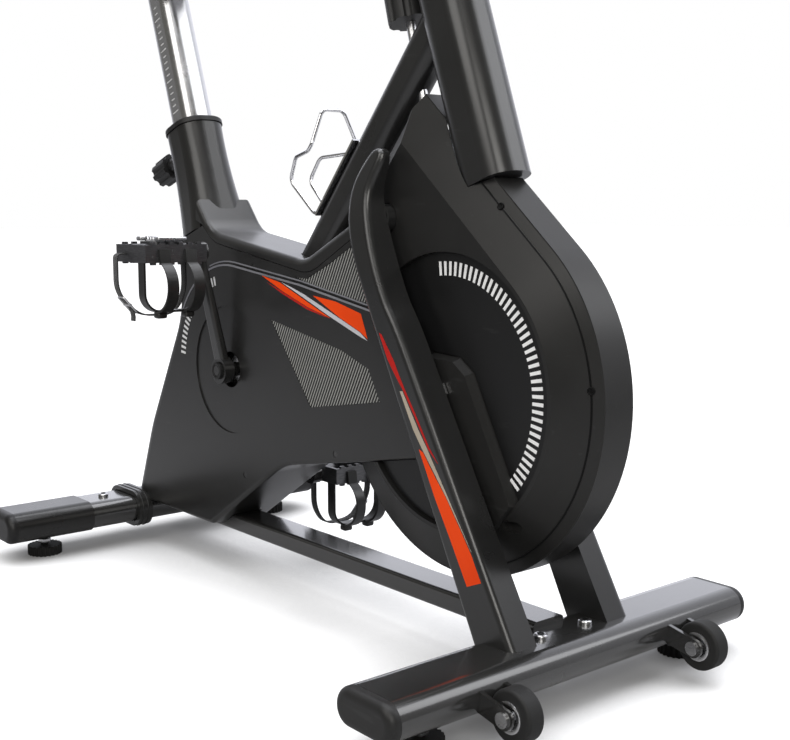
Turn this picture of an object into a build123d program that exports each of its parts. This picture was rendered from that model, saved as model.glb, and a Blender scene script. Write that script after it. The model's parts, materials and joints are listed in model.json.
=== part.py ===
from build123d import *
import os
from math import atan2, cos, degrees, hypot, radians, sin

os.makedirs("parts", exist_ok=True)

# Millimetres: X forward, Y to the rider's left, Z up from the floor.
# Side-view points are (X from the crank axis, Z from the floor).

# Overall layout
base_length = 1061.0        # rear collar edge to transport wheel rim
rear_overhang = 351.0       # crank axis to the rear edge of the base
crank_height = 308.0
crank_length = 170.0
crank_angle = 96.0          # right crank, from forward towards up
wheel_reach = 458.0         # crank axis to flywheel axis
wheel_height = 329.0

# Clearances
running_gap = 0.08          # radial, shaft in its bore
slide_gap = 0.3             # post in its sleeve, rail in its carriage
fit_gap = 0.2               # between parts that are fastened together
cover_gap = 1.0             # between a cover and what passes through it

# Base
stab_width = 90.0
stab_height = 42.0
stab_corner = 20.5
stab_wall = 2.5
sleeve_wall = 2.0
foot_height = 33.0          # floor to stabiliser underside
rear_half_span = 284.0
front_half_span = 284.0
sleeve_start = 146.0
sleeve_overlap = 44.0
cap_thickness = 14.0
cap_plug = 12.0
cap_round = 10.0
beam_width = 48.0
beam_height = 25.0
beam_corner = 5.0
beam_wall = 2.5
beam_bottom = 58.0
beam_end = 22.0             # closed end, short of each stabiliser's middle
foot_radius = 26.0
foot_disc = 14.0
foot_offset = 210.0         # from the mid-plane
foot_notches = 24
foot_notch_radius = 2.2
stud_radius = 6.0
stud_reach = 22.0           # stud inside the stabiliser
boss_radius = 12.0
boss_height = 26.0
roller_radius = 28.0        # transport wheels
roller_width = 22.0
roller_height = 45.0
roller_offset = 150.0
roller_gap = 4.0
roller_pin = 4.0
ear_thickness = 5.0
ear_radius = 11.0

# Frame tubes
seat_lean = 19.3            # rearward from upright
head_lean = 19.7
down_lean = 41.1            # forward from upright
seat_top = (-168.5, 656.0)
head_top = (397.5, 834.4)
down_foot = (166.0, 481.5)
seat_tube_length = 239.0
head_tube_length = 285.0
post_tube = (76.0, 66.0)    # seat and head tube section
post_tube_corner = 27.0
tube_wall = 3.0
down_tube = (50.0, 40.0)
down_tube_corner = 16.0
top_tube_radius = 21.0
down_tube_sink = 40.0       # down tube below its foot, into the top tube
top_tube_path = [(-92.0, 455.0), (190.0, 446.0), (354.0, 526.0)]
top_tube_bend = 90.0
cross_radius = 17.0
stay_depth = 40.0
stay_width = 26.0
stay_foot = (-232.0, 76.0)
shell_radius = 29.0         # bottom bracket shell
shell_right = 34.0
shell_left = 16.0
leg_inner = 57.0
leg_thickness = 38.0
leg_wall = 3.0
leg_round = 8.0
leg_rear = [(563.0, 58.5), (352.0, 466.0)]
leg_front = [(450.0, 369.0), (629.0, 58.5)]
leg_tip = [                 # round the tip, from the rear edge to the front edge
    (336.0, 500.0), (327.0, 535.0), (329.0, 566.0), (343.0, 594.0), (358.0, 607.0),
    (371.0, 603.0), (370.0, 584.0), (362.0, 557.0), (369.0, 522.0), (410.0, 431.0),
]
leg_tuck = [(440.0, 0.0), (630.0, 35.5)]    # height, and how far the outer face leans in

# Posts
post = (60.0, 50.0)
post_corner = 18.0
post_wall = 2.5
sleeve_depth = 118.0
collar_height = 8.0
collar_lip = 6.0
post_drop = 80.0            # travel below and above the height shown
post_lift = 70.0
slot_width = 15.0
pin_radius = 6.0
pin_knob_radius = 21.0
pin_knob_length = 40.0
pin_bite = 5.0              # pin depth in the post's slot
pin_barrel_radius = 13.0
pin_barrel_reach = 40.0
seat_pin_drop = 28.0        # below the tube's top
head_pin_drop = 34.0

# Covers
cover_half = 50.0
cover_wall = 3.0
cover_side = 6.0            # thickness of the flat side
cover_rear_round = 24.0
cover_low_round = 6.0
housing_points = [
    (-152.0, 484.0), (-146.0, 385.0), (-250.0, 200.0), (-293.0, 94.0), (-293.0, 68.0),
    (-58.0, 68.0), (130.0, 188.0), (475.0, 255.0), (345.0, 500.0),
    (328.0, 521.0), (196.0, 452.0), (-40.0, 489.0), (-69.0, 513.0),
]
housing_rounds = [0, 120.0, 300.0, 0, 0, 20.0, 120.0, 0, 0, 0, 70.0, 60.0, 0]
housing_opening = [
    (-143.0, 440.0), (-60.0, 440.0), (165.0, 420.0), (330.0, 440.0), (440.0, 250.0),
    (520.0, 250.0), (520.0, 560.0), (-143.0, 560.0),
]
strip_depth = 2.0           # recessed strip above the side panel
strip_radius = 150.0        # strip's edge around the crank
strip_turn = 118.0          # middle of that edge, from forward towards up
strip_edge = [(-135.0, 373.0), (15.0, 457.0), (179.0, 438.0), (470.0, 390.0)]
crank_dish_radius = 92.0
crank_dish_depth = 2.0
crank_hole_radius = 26.0
band_half = 48.0
band_round = 9.0
band_top = [(-88.0, 521.0), (-88.0, 551.0), (-50.0, 505.0), (180.0, 470.0), (316.0, 536.0)]
band_rounds = [0, 0, 60.0, 60.0, 0]
band_opening = 55.0         # hollow of the upper cover, down past its seam
sleeve_rings = [(1.0, 84.0, 74.0, 0.0), (90.0, 85.0, 76.0, 0.5), (165.0, 92.0, 94.0, 4.0)]
sleeve_corners = [31.0, 31.0, 38.0]
collar_ring = 8.0
collar_length = 20.0
vent_depth = 2.0
vent_plate = 1.4
strip_vent = [
    (165.0, 448.0), (192.0, 447.0), (245.0, 470.0), (300.0, 498.0), (336.0, 419.0),
    (210.0, 437.0),
]
panel_vent = [(109.0, 388.0), (268.0, 360.0), (322.0, 342.0), (345.0, 303.0), (200.0, 278.0)]
screw_head = 4.0
screw_hole = 4.5
screw_depth = 3.0
screw_rise = 2.4
panel_screws = [(253.0, 224.0), (38.0, 160.0)]
strip_screw = (65.0, 458.0)

# Flywheel shroud
shroud_radius = 217.0
shroud_half = 46.0
rim_half = 22.0
shroud_flat = 165.0         # radius where the face stops sloping
shroud_wall = 3.0
recess_radius = 160.0
recess_floor = 38.0
neck_lean = 49.4
neck_length = 268.0
shoulder_width = 48.5
shoulder_edge = 15.0
rim_proud = 1.5
disc_thickness = 1.6
disc_gap = 2.0
block_points = [
    (430.0, 372.0), (478.0, 370.0), (500.0, 355.0), (575.0, 215.0), (545.0, 180.0),
    (500.0, 190.0),
]
block_top = 51.0
block_taper = 18.0
hand_hole = (24.0, 13.0)
hand_hole_at = (565.0, 191.0)
hand_hole_floor = 37.0

# Drive
belt_width = 12.0
belt_thickness = 3.0
belt_clear = 0.4
belt_offset = 26.0          # belt centre from the mid-plane, to the left
drive_pitch_radius = 91.0
wheel_pitch_radius = 26.0
pulley_width = 15.0
pulley_flange = 1.5
pulley_holes = 5
pulley_hole = 17.0
pulley_hole_ring = 55.0
spindle_radius = 10.0
bearing_radius = 21.0
bearing_width = 11.0
flywheel_radius = 190.0
flywheel_half = 12.0
flywheel_rim = 42.0
flywheel_web = 5.0
flywheel_holes = 6
flywheel_hole = 26.0
flywheel_hole_ring = 90.0
axle_radius = 8.5
wheel_bearing_radius = 18.0
wheel_hub_radius = 27.0
wheel_hub_right = 24.0
axle_nut = 13.0
axle_nut_height = 5.0

# Cranks and pedals
crank_hub_radius = 19.0
crank_hub_in = 52.0
crank_hub_out = 68.0
crank_eye_radius = 14.0
crank_eye_in = 77.0
crank_eye_out = 92.0
pedal_spindle_radius = 6.0
pedal_in = 97.0
pedal_out = 191.0
pedal_length = 84.0
pedal_height = 24.0
pedal_plate = 5.0
pedal_barrel = 13.0
pedal_web = 6.0
pedal_corner = 8.0
pedal_flange = 9.0
pedal_teeth = 6
tooth_pitch = 14.0
tooth_width = 7.0
tooth_height = 3.0
clip_size = (44.0, 48.0)
clip_height = 16.0
window_size = (16.0, 28.0)
window_pitch = (52.0, 46.0)
crank_root = (14.0, 24.0)
crank_end = (12.0, 18.0)
crank_corner = 5.0
crank_bolt = 7.0
crank_bolt_head = 3.0
cage_strip = 3.0
cage_width = 16.0
cage_start = 18.0           # ahead of the pedal axis
cage_inset = 1.0
cage_bend = 26.0
cage_drop = 80.0
arm_pitch = 40.0
arm_width = 16.0
arm_bulge = 26.0
strap_thickness = 2.0
strap_width = 13.0
strap_back = 26.0           # behind the pedal axis
strap_drop = 88.0
strap_bulge = 14.0
strap_bend = 20.0
strap_fold = 7.0

# Brake
brake_lean = 15.0
shoe_gap = 14.0
shoe_height = 28.0
shoe_length = 46.0
brake_rod_radius = 6.0
brake_rod_bite = 16.0       # rod depth in the shoe
brake_cross = 386.0         # wheel axis to the down tube's middle, along the rod
brake_boss_radius = 11.0
brake_boss_half = 20.0
knob_start = 444.0
knob_radius = 27.0
knob_height = 46.0
knob_bore = 24.0
knob_round = 3.0
flutes = 8
flute_radius = 6.0

# Saddle
seat_post_top = 230.0       # above the seat tube's top, along the tube
seat_post_low = 150.0
rail_width = 40.0
rail_height = 20.0
rail_length = 165.0
rail_corner = 5.0
rail_centre = -225.0        # from the crank axis
carriage_length = 100.0
carriage_wall = 8.0
saddle_stem = 26.0
stem_height = 20.0
clamp_size = (46.0, 58.0)
clamp_height = 14.0
rod_radius = 3.5
rod_pitch = 44.0
rod_length = 150.0
saddle_stud = 5.0
saddle_knob_gap = 4.0       # carriage side to knob
saddle_knob_radius = 18.0
saddle_knob_length = 24.0
saddle_length = 262.0
saddle_centre = -206.0      # from the crank axis
saddle_sections = [         # distance from the rear, width, height
    (0.0, 130.0, 26.0), (30.0, 205.0, 54.0), (95.0, 190.0, 60.0), (165.0, 88.0, 54.0),
    (235.0, 52.0, 48.0), (262.0, 32.0, 26.0),
]
saddle_tuck = 0.86          # underside half width to full half width
saddle_shoulder = 0.7
saddle_crest = 0.4
saddle_groove = 4.0

# Handlebar
bar_post_top = 150.0
bar_post_low = 150.0
bar_radius = 15.0
bar_wall = 2.5
bar_reach = 150.0
bar_half = 215.0
horn_reach = 195.0
horn_rise = 62.0
bar_bend = 45.0
loop_radius = 13.0
loop_half = 62.0
loop_reach = 170.0
loop_rise = 14.0
loop_bend = 40.0
grip_radius = 18.5
grip_span = (50.0, 105.0)   # ahead of the crossbar
pad_span = (90.0, 165.0)    # out from the mid-plane

# Bottle cage
wire_radius = 2.5
wire_bend = 12.0
cage_foot = 40.0            # up the down tube
cage_height = 125.0
strip_width = 40.0
strip_thickness = 3.0
cage_wire = [               # up the tube, out from its face, out from the mid-plane
    (110.0, 5.0, 12.0), (-6.0, 5.0, 12.0), (-6.0, 78.0, 16.0), (30.0, 84.0, 20.0),
    (75.0, 42.0, 41.0), (112.0, 80.0, 17.0),
]

# Bolts
bolt_head = 8.0
bolt_rise = 5.0
rear_bolt = 108.0           # from the mid-plane
front_bolt = 36.0

crank_x = rear_overhang - base_length / 2
rear_x = -base_length / 2 + stab_width / 2 + collar_ring
roller_x = base_length / 2 - roller_radius
front_x = roller_x - roller_radius - roller_gap - stab_width / 2
stab_z = foot_height + stab_height / 2
beam_start = rear_x + beam_end
beam_length = front_x - beam_end - beam_start
wheel_x = crank_x + wheel_reach
leg_outer = leg_inner + leg_thickness


def side(point):
    return (crank_x + point[0], point[1])


def lean_plane(point, lean):
    """Section plane of a bar that leans rearward: local X forward, Y left, Z up the bar."""
    turn = radians(lean)
    return Plane(
        origin=(point[0], 0, point[1]),
        x_dir=(cos(turn), 0, sin(turn)),
        z_dir=(-sin(turn), 0, cos(turn)),
    )


def bar(plane, size, corner):
    with BuildSketch(plane) as section:
        RectangleRounded(size[0], size[1], corner)
    return section.sketch


def outline(points, plane=Plane.XZ):
    with BuildSketch(plane) as face:
        with BuildLine():
            Polyline(*points, close=True)
        make_face()
    return face.sketch


def disc(point, radius, plane=Plane.XZ):
    with BuildSketch(plane) as face:
        with Locations(point):
            Circle(radius)
    return face.sketch


def stab_face(x, grow=0.0):
    with BuildSketch(Plane.XZ) as face:
        with Locations((x, stab_z)):
            RectangleRounded(stab_width + 2 * grow, stab_height + 2 * grow, stab_corner + grow)
    return face.sketch


def shrink(size, amount):
    return (size[0] - 2 * amount, size[1] - 2 * amount)


def save(builder, name):
    builder.part.label = name
    export_step(builder.part, f"parts/{name}.step")


crank_axis = side((0.0, crank_height))
wheel_axis = (wheel_x, wheel_height)
wheel_line = Axis((wheel_x, 0, wheel_height), (0, 1, 0))
seat_plane = lean_plane(side(seat_top), seat_lean)
head_plane = lean_plane(side(head_top), head_lean)
down_plane = lean_plane(side(down_foot), -down_lean)
brake_plane = lean_plane(wheel_axis, brake_lean)
neck_plane = lean_plane(wheel_axis, neck_lean)
wheel_plane = lean_plane(wheel_axis, 0.0)
cross_point = side(top_tube_path[-1])


# Stabilisers, beam and feet

with BuildPart() as rear_stabiliser:
    extrude(stab_face(rear_x), amount=sleeve_start + sleeve_overlap, both=True)
    extrude(
        stab_face(rear_x, -stab_wall),
        amount=sleeve_start + sleeve_overlap,
        both=True,
        mode=Mode.SUBTRACT,
    )
save(rear_stabiliser, "rear_stabiliser")

with BuildPart() as rear_sleeves:
    with BuildSketch(Plane.XZ.offset(sleeve_start)):
        with Locations((rear_x, stab_z)):
            RectangleRounded(
                stab_width + 2 * (fit_gap + sleeve_wall),
                stab_height + 2 * (fit_gap + sleeve_wall),
                stab_corner + fit_gap + sleeve_wall,
            )
            RectangleRounded(
                stab_width + 2 * fit_gap,
                stab_height + 2 * fit_gap,
                stab_corner + fit_gap,
                mode=Mode.SUBTRACT,
            )
    extrude(amount=rear_half_span - cap_thickness - sleeve_start)
    with BuildSketch(Plane.XY.offset(foot_height - fit_gap - sleeve_wall)):
        with Locations((rear_x, -foot_offset)):
            Circle(boss_radius)
    extrude(amount=boss_height)
    with BuildSketch(Plane.XY.offset(foot_height - fit_gap - sleeve_wall)):
        with Locations((rear_x, -foot_offset)):
            Circle(stud_radius + running_gap)
    extrude(amount=boss_height, mode=Mode.SUBTRACT)
    mirror(about=Plane.XZ)
save(rear_sleeves, "rear_stabiliser_sleeves")

with BuildPart() as front_stabiliser:
    tube_half = front_half_span - cap_thickness
    extrude(stab_face(front_x), amount=tube_half, both=True)
    for ear in (-1, 1):
        ear_middle = roller_offset + ear * (roller_width / 2 + roller_gap + ear_thickness / 2)
        with BuildSketch(Plane.XZ.offset(ear_middle - ear_thickness / 2)):
            with Locations((roller_x, roller_height)):
                Circle(ear_radius)
            with Locations((front_x + stab_width / 2 - ear_radius, stab_z)):
                Circle(ear_radius)
            make_hull()
        extrude(amount=ear_thickness)
    mirror(about=Plane.XZ)
    extrude(stab_face(front_x, -stab_wall), amount=tube_half, both=True, mode=Mode.SUBTRACT)
    with BuildSketch(Plane.XY.offset(foot_height)):
        with Locations((front_x, -foot_offset), (front_x, foot_offset)):
            Circle(boss_radius)
    extrude(amount=boss_height)
    with BuildSketch(Plane.XY.offset(foot_height)):
        with Locations((front_x, -foot_offset), (front_x, foot_offset)):
            Circle(stud_radius + running_gap)
    extrude(amount=boss_height, mode=Mode.SUBTRACT)
    extrude(
        disc((roller_x, roller_height), roller_pin + fit_gap),
        amount=front_half_span,
        both=True,
        mode=Mode.SUBTRACT,
    )
save(front_stabiliser, "front_stabiliser")

with BuildPart() as end_caps:
    for cap_x, half_span, grow in (
        (rear_x, rear_half_span, fit_gap + sleeve_wall),
        (front_x, front_half_span, 0.0),
    ):
        inner = -sleeve_wall if grow else -stab_wall
        with BuildSketch(Plane.XZ.offset(half_span - cap_thickness)):
            with Locations((cap_x, stab_z)):
                RectangleRounded(
                    stab_width + 2 * grow, stab_height + 2 * grow, stab_corner + grow
                )
        extrude(amount=cap_thickness)
        fillet(edges().group_by(Axis.Y)[0], cap_round)
        with BuildSketch(Plane.XZ.offset(half_span - cap_thickness - cap_plug)):
            with Locations((cap_x, stab_z)):
                RectangleRounded(
                    stab_width + 2 * (grow + inner - fit_gap),
                    stab_height + 2 * (grow + inner - fit_gap),
                    stab_corner + grow + inner - fit_gap,
                )
        extrude(amount=cap_plug)
    mirror(about=Plane.XZ)
save(end_caps, "stabiliser_end_caps")

with BuildPart() as base_beam:
    with BuildSketch(Plane.YZ.offset(beam_start)):
        with Locations((0, beam_bottom + beam_height / 2)):
            RectangleRounded(beam_width, beam_height, beam_corner)
    extrude(amount=beam_length)
    with BuildSketch(Plane.YZ.offset(beam_start + beam_wall)):
        with Locations((0, beam_bottom + beam_height / 2)):
            RectangleRounded(
                beam_width - 2 * beam_wall,
                beam_height - 2 * beam_wall,
                beam_corner - beam_wall,
            )
    extrude(amount=beam_length - 2 * beam_wall, mode=Mode.SUBTRACT)
    for stab_x in (rear_x, front_x):
        extrude(stab_face(stab_x), amount=beam_width, both=True, mode=Mode.SUBTRACT)
save(base_beam, "base_beam")

for end, foot_x, under in (
    ("rear", rear_x, foot_height - fit_gap - sleeve_wall),
    ("front", front_x, foot_height),
):
    for hand, foot_y in (("right", -foot_offset), ("left", foot_offset)):
        with BuildPart() as foot:
            with BuildSketch():
                with Locations((foot_x, foot_y)):
                    Circle(foot_radius)
                    with PolarLocations(foot_radius, foot_notches):
                        Circle(foot_notch_radius, mode=Mode.SUBTRACT)
            extrude(amount=foot_disc)
            with BuildSketch(Plane.XY.offset(foot_disc)):
                with Locations((foot_x, foot_y)):
                    Circle(stud_radius)
            extrude(amount=under + stud_reach - foot_disc)
        save(foot, f"foot_{end}_{hand}")

for hand, sign in (("right", 1), ("left", -1)):
    with BuildPart() as roller:
        with BuildSketch(Plane.XZ.offset(sign * roller_offset)):
            with Locations((roller_x, roller_height)):
                Circle(roller_radius)
        extrude(amount=roller_width / 2, both=True)
        fillet(edges().filter_by(GeomType.CIRCLE), roller_width / 6)
        with BuildSketch(Plane.XZ.offset(sign * roller_offset)):
            with Locations((roller_x, roller_height)):
                Circle(roller_pin + running_gap)
        extrude(amount=roller_width, both=True, mode=Mode.SUBTRACT)
    save(roller, f"transport_wheel_{hand}")


# Frame tubes

with BuildPart() as seat_tube:
    extrude(bar(seat_plane, post_tube, post_tube_corner), amount=-seat_tube_length)
    extrude(
        bar(seat_plane, shrink(post_tube, tube_wall), post_tube_corner - tube_wall),
        amount=tube_wall - seat_tube_length,
        mode=Mode.SUBTRACT,
    )
    pin_plane = Plane(
        origin=seat_plane.from_local_coords((0, 0, -seat_pin_drop)),
        x_dir=(0, 1, 0),
        z_dir=-seat_plane.x_dir,
    )
    with BuildSketch(pin_plane.offset(post_tube[0] / 2 - tube_wall)):
        Circle(pin_barrel_radius)
    extrude(amount=pin_barrel_reach)
    with BuildSketch(pin_plane):
        Circle(pin_radius + running_gap)
    extrude(amount=post_tube[0] + pin_barrel_reach, mode=Mode.SUBTRACT)
save(seat_tube, "seat_tube")


def top_run(radius):
    with BuildPart() as run:
        with BuildLine(Plane.XZ) as route:
            FilletPolyline(*[side(point) for point in top_tube_path], radius=top_tube_bend)
        with BuildSketch(Plane(origin=route.line @ 0, z_dir=route.line % 0)):
            Circle(radius)
        sweep(path=route.line)
    return run.part


with BuildPart() as top_tube:
    add(top_run(top_tube_radius))
    add(top_run(top_tube_radius - tube_wall), mode=Mode.SUBTRACT)
    extrude(disc(cross_point, cross_radius), amount=leg_inner, both=True)
    extrude(
        disc(cross_point, cross_radius - tube_wall),
        amount=leg_inner,
        both=True,
        mode=Mode.SUBTRACT,
    )
    extrude(
        bar(seat_plane, post_tube, post_tube_corner),
        amount=-seat_tube_length,
        mode=Mode.SUBTRACT,
    )
save(top_tube, "top_tube")

with BuildPart() as head_tube:
    extrude(bar(head_plane, post_tube, post_tube_corner), amount=-head_tube_length)
    extrude(
        bar(head_plane, shrink(post_tube, tube_wall), post_tube_corner - tube_wall),
        amount=tube_wall - head_tube_length,
        mode=Mode.SUBTRACT,
    )
    head_pin_plane = Plane(
        origin=head_plane.from_local_coords((0, 0, -head_pin_drop)),
        x_dir=(0, 1, 0),
        z_dir=head_plane.x_dir,
    )
    with BuildSketch(head_pin_plane.offset(post_tube[0] / 2 - tube_wall)):
        Circle(pin_barrel_radius)
    extrude(amount=pin_barrel_reach)
    with BuildSketch(head_pin_plane):
        Circle(pin_radius + running_gap)
    extrude(amount=post_tube[0] + pin_barrel_reach, mode=Mode.SUBTRACT)
save(head_tube, "head_tube")

with BuildPart() as down_tube_part:
    reach = Vector(*side(head_top)) - Vector(*side(down_foot))
    down_start = down_plane.offset(-down_tube_sink)
    extrude(
        bar(down_start, down_tube, down_tube_corner), amount=reach.length + down_tube_sink
    )
    extrude(
        bar(down_start, shrink(down_tube, tube_wall), down_tube_corner - tube_wall),
        amount=reach.length + down_tube_sink,
        mode=Mode.SUBTRACT,
    )
    with BuildSketch(brake_plane.offset(brake_cross - brake_boss_half)):
        Circle(brake_boss_radius)
    extrude(amount=2 * brake_boss_half)
    extrude(
        bar(head_plane, post_tube, post_tube_corner),
        amount=-head_tube_length,
        mode=Mode.SUBTRACT,
    )
    split(bisect_by=head_plane.rotated((0, 90, 0)), keep=Keep.BOTTOM)
    add(top_run(top_tube_radius), mode=Mode.SUBTRACT)
    with BuildSketch(brake_plane):
        Circle(brake_rod_radius + running_gap)
    extrude(amount=knob_start, mode=Mode.SUBTRACT)
save(down_tube_part, "down_tube")

with BuildPart() as rear_stay:
    stay_rise = Vector(*crank_axis) - Vector(*side(stay_foot))
    stay_plane = lean_plane(side(stay_foot), -degrees(atan2(stay_rise.X, stay_rise.Y)))
    seat_foot = seat_plane.from_local_coords((0, 0, -seat_tube_length))
    link_rise = Vector(seat_foot.X, seat_foot.Z) - Vector(*crank_axis)
    link_plane = lean_plane(crank_axis, -degrees(atan2(link_rise.X, link_rise.Y)))
    stay_size = (stay_depth, stay_width)
    for plane, length in (
        (stay_plane, stay_rise.length),
        (link_plane, link_rise.length + stay_depth / 2),
    ):
        extrude(bar(plane, stay_size, beam_corner), amount=length)
    for plane, length in (
        (stay_plane, stay_rise.length),
        (link_plane, link_rise.length + stay_depth / 2),
    ):
        extrude(
            bar(plane, shrink(stay_size, beam_wall), beam_corner - beam_wall),
            amount=length,
            mode=Mode.SUBTRACT,
        )
    shell_plane = Plane.XZ.offset(shell_right)
    shell_width = shell_right + shell_left
    extrude(disc(crank_axis, shell_radius, shell_plane), amount=-shell_width)
    extrude(
        disc(crank_axis, bearing_radius + running_gap, shell_plane),
        amount=-shell_width,
        mode=Mode.SUBTRACT,
    )
    extrude(
        bar(seat_plane, post_tube, post_tube_corner),
        amount=-seat_tube_length,
        mode=Mode.SUBTRACT,
    )
    add(top_run(top_tube_radius), mode=Mode.SUBTRACT)
    extrude(stab_face(rear_x), amount=beam_width, both=True, mode=Mode.SUBTRACT)
    with BuildSketch(Plane.YZ.offset(beam_start)):
        with Locations((0, beam_bottom + beam_height / 2)):
            RectangleRounded(beam_width, beam_height, beam_corner)
    extrude(amount=beam_length, mode=Mode.SUBTRACT)
save(rear_stay, "rear_stay")

with BuildPart() as fork_leg_right:
    with BuildSketch(Plane.XZ.offset(leg_inner)):
        with BuildLine():
            rear_line = Line(side(leg_rear[0]), side(leg_rear[1]))
            front_line = Line(side(leg_front[0]), side(leg_front[1]))
            Line(front_line @ 1, rear_line @ 0)
            Spline(
                rear_line @ 1,
                *[side(point) for point in leg_tip],
                front_line @ 0,
                tangents=(rear_line % 1, front_line % 0),
            )
        make_face()
    extrude(amount=leg_thickness)
    tuck_low, tuck_high = [(lean - leg_outer, height) for height, lean in leg_tuck]
    with BuildSketch(Plane.YZ.offset(crank_x)):
        with BuildLine():
            TangentArc(tuck_low, tuck_high, tangent=(0, 1))
            Polyline(
                tuck_high,
                (-2 * leg_outer, tuck_high[1]),
                (-2 * leg_outer, tuck_low[1]),
                tuck_low,
            )
        make_face()
    extrude(amount=wheel_reach, mode=Mode.SUBTRACT)
    outer_edges = faces().sort_by(Axis.Y)[:2].edges()   # flat outer face and the tucked tip
    fillet(
        [
            edge for edge in outer_edges
            if edge.center().Z > leg_rear[0][1] + leg_round
            and abs(edge.center().Z - tuck_low[1]) > fit_gap
        ],
        leg_round,
    )
    with BuildSketch(Plane.XZ.offset(leg_inner + leg_wall)):
        with BuildLine():
            Polyline(*[side(point) for point in leg_rear + leg_front], close=True)
        make_face()
        offset(amount=-leg_round, kind=Kind.INTERSECTION, mode=Mode.REPLACE)
    extrude(amount=leg_thickness - 2 * leg_wall, mode=Mode.SUBTRACT)
    extrude(stab_face(front_x), amount=leg_outer, both=True, mode=Mode.SUBTRACT)
save(fork_leg_right, "fork_leg_right")

with BuildPart() as fork_leg_left:
    mirror(fork_leg_right.part, about=Plane.XZ)
save(fork_leg_left, "fork_leg_left")


# Post sleeves and covers

def housing_face(grow=0.0):
    with BuildSketch(Plane.XZ) as face:
        with BuildLine():
            FilletPolyline(
                *[side(point) for point in housing_points], radius=housing_rounds, close=True
            )
        make_face()
        if grow:
            offset(amount=grow, kind=Kind.INTERSECTION, mode=Mode.REPLACE)
    return face.sketch


def band_face(drop_top=0.0, drop_low=0.0):
    top = [side((point[0], point[1] - drop_top)) for point in band_top]
    seam = housing_points[-4:]
    low = [side((point[0], point[1] + cover_gap - drop_low)) for point in seam]
    with BuildSketch(Plane.XZ) as face:
        with BuildLine():
            FilletPolyline(*top, *low, radius=band_rounds + housing_rounds[-4:], close=True)
        make_face()
    return face.sketch


def housing_half(inset, depth, rear_round):
    with BuildPart() as half:
        extrude(housing_face(-inset), amount=depth)
        face_edges = edges().group_by(Axis.Y)[0]
        rear_edges = face_edges.filter_by(
            lambda edge: edge.center().X < crank_x - crank_dish_radius
            and beam_bottom + beam_height < edge.center().Z < housing_points[0][1]
        )
        fillet(rear_edges, rear_round)
    return half.part


with BuildPart() as post_sleeves:
    for plane, pin in ((seat_plane, pin_plane), (head_plane, head_pin_plane)):
        extrude(
            bar(plane, shrink(post_tube, -collar_lip), post_tube_corner + collar_lip),
            amount=collar_height,
        )
        collar_top = faces(Select.LAST).sort_by(Axis(plane.origin, plane.z_dir))[-1]
        fillet(collar_top.edges(), collar_height / 3)
        extrude(
            bar(
                plane,
                shrink(post_tube, tube_wall + fit_gap),
                post_tube_corner - tube_wall - fit_gap,
            ),
            amount=-sleeve_depth,
        )
        extrude(
            bar(
                plane.offset(collar_height),
                shrink(post, -slide_gap),
                post_corner + slide_gap,
            ),
            amount=-collar_height - sleeve_depth,
            mode=Mode.SUBTRACT,
        )
        with BuildSketch(pin):
            Circle(pin_radius + running_gap)
        extrude(amount=post_tube[0], mode=Mode.SUBTRACT)
save(post_sleeves, "post_sleeves")

with BuildPart() as upper_cover:
    extrude(band_face(), amount=band_half, both=True)
    top_faces = faces().filter_by(
        lambda face: face.normal_at().Z > 0.2 and face.area > 4 * band_half * band_round
    )
    fillet(
        [edge for edge in top_faces.edges() if abs(edge.center().Y) > band_half - fit_gap],
        band_round,
    )
    for inset, mode in ((0.0, Mode.ADD), (cover_wall, Mode.SUBTRACT)):
        for (drop, depth, width, shift), corner in zip(sleeve_rings, sleeve_corners):
            with BuildSketch(seat_plane.offset(-drop)):
                with Locations((shift, 0)):
                    RectangleRounded(depth - 2 * inset, width - 2 * inset, corner - inset)
        loft(mode=mode)
    extrude(
        band_face(cover_wall, band_opening),
        amount=band_half - cover_wall,
        both=True,
        mode=Mode.SUBTRACT,
    )
    with BuildSketch(pin_plane):
        Circle(pin_barrel_radius + cover_gap)
    extrude(amount=post_tube[0] + pin_barrel_reach, mode=Mode.SUBTRACT)
    extrude(
        bar(down_start, shrink(down_tube, -cover_gap), down_tube_corner + cover_gap),
        amount=reach.length,
        mode=Mode.SUBTRACT,
    )
    extrude(
        bar(seat_plane, shrink(post_tube, -cover_gap), post_tube_corner + cover_gap),
        amount=-seat_tube_length - cover_gap,
        mode=Mode.SUBTRACT,
    )
    add(top_run(top_tube_radius + cover_gap), mode=Mode.SUBTRACT)
save(upper_cover, "upper_cover")

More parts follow.
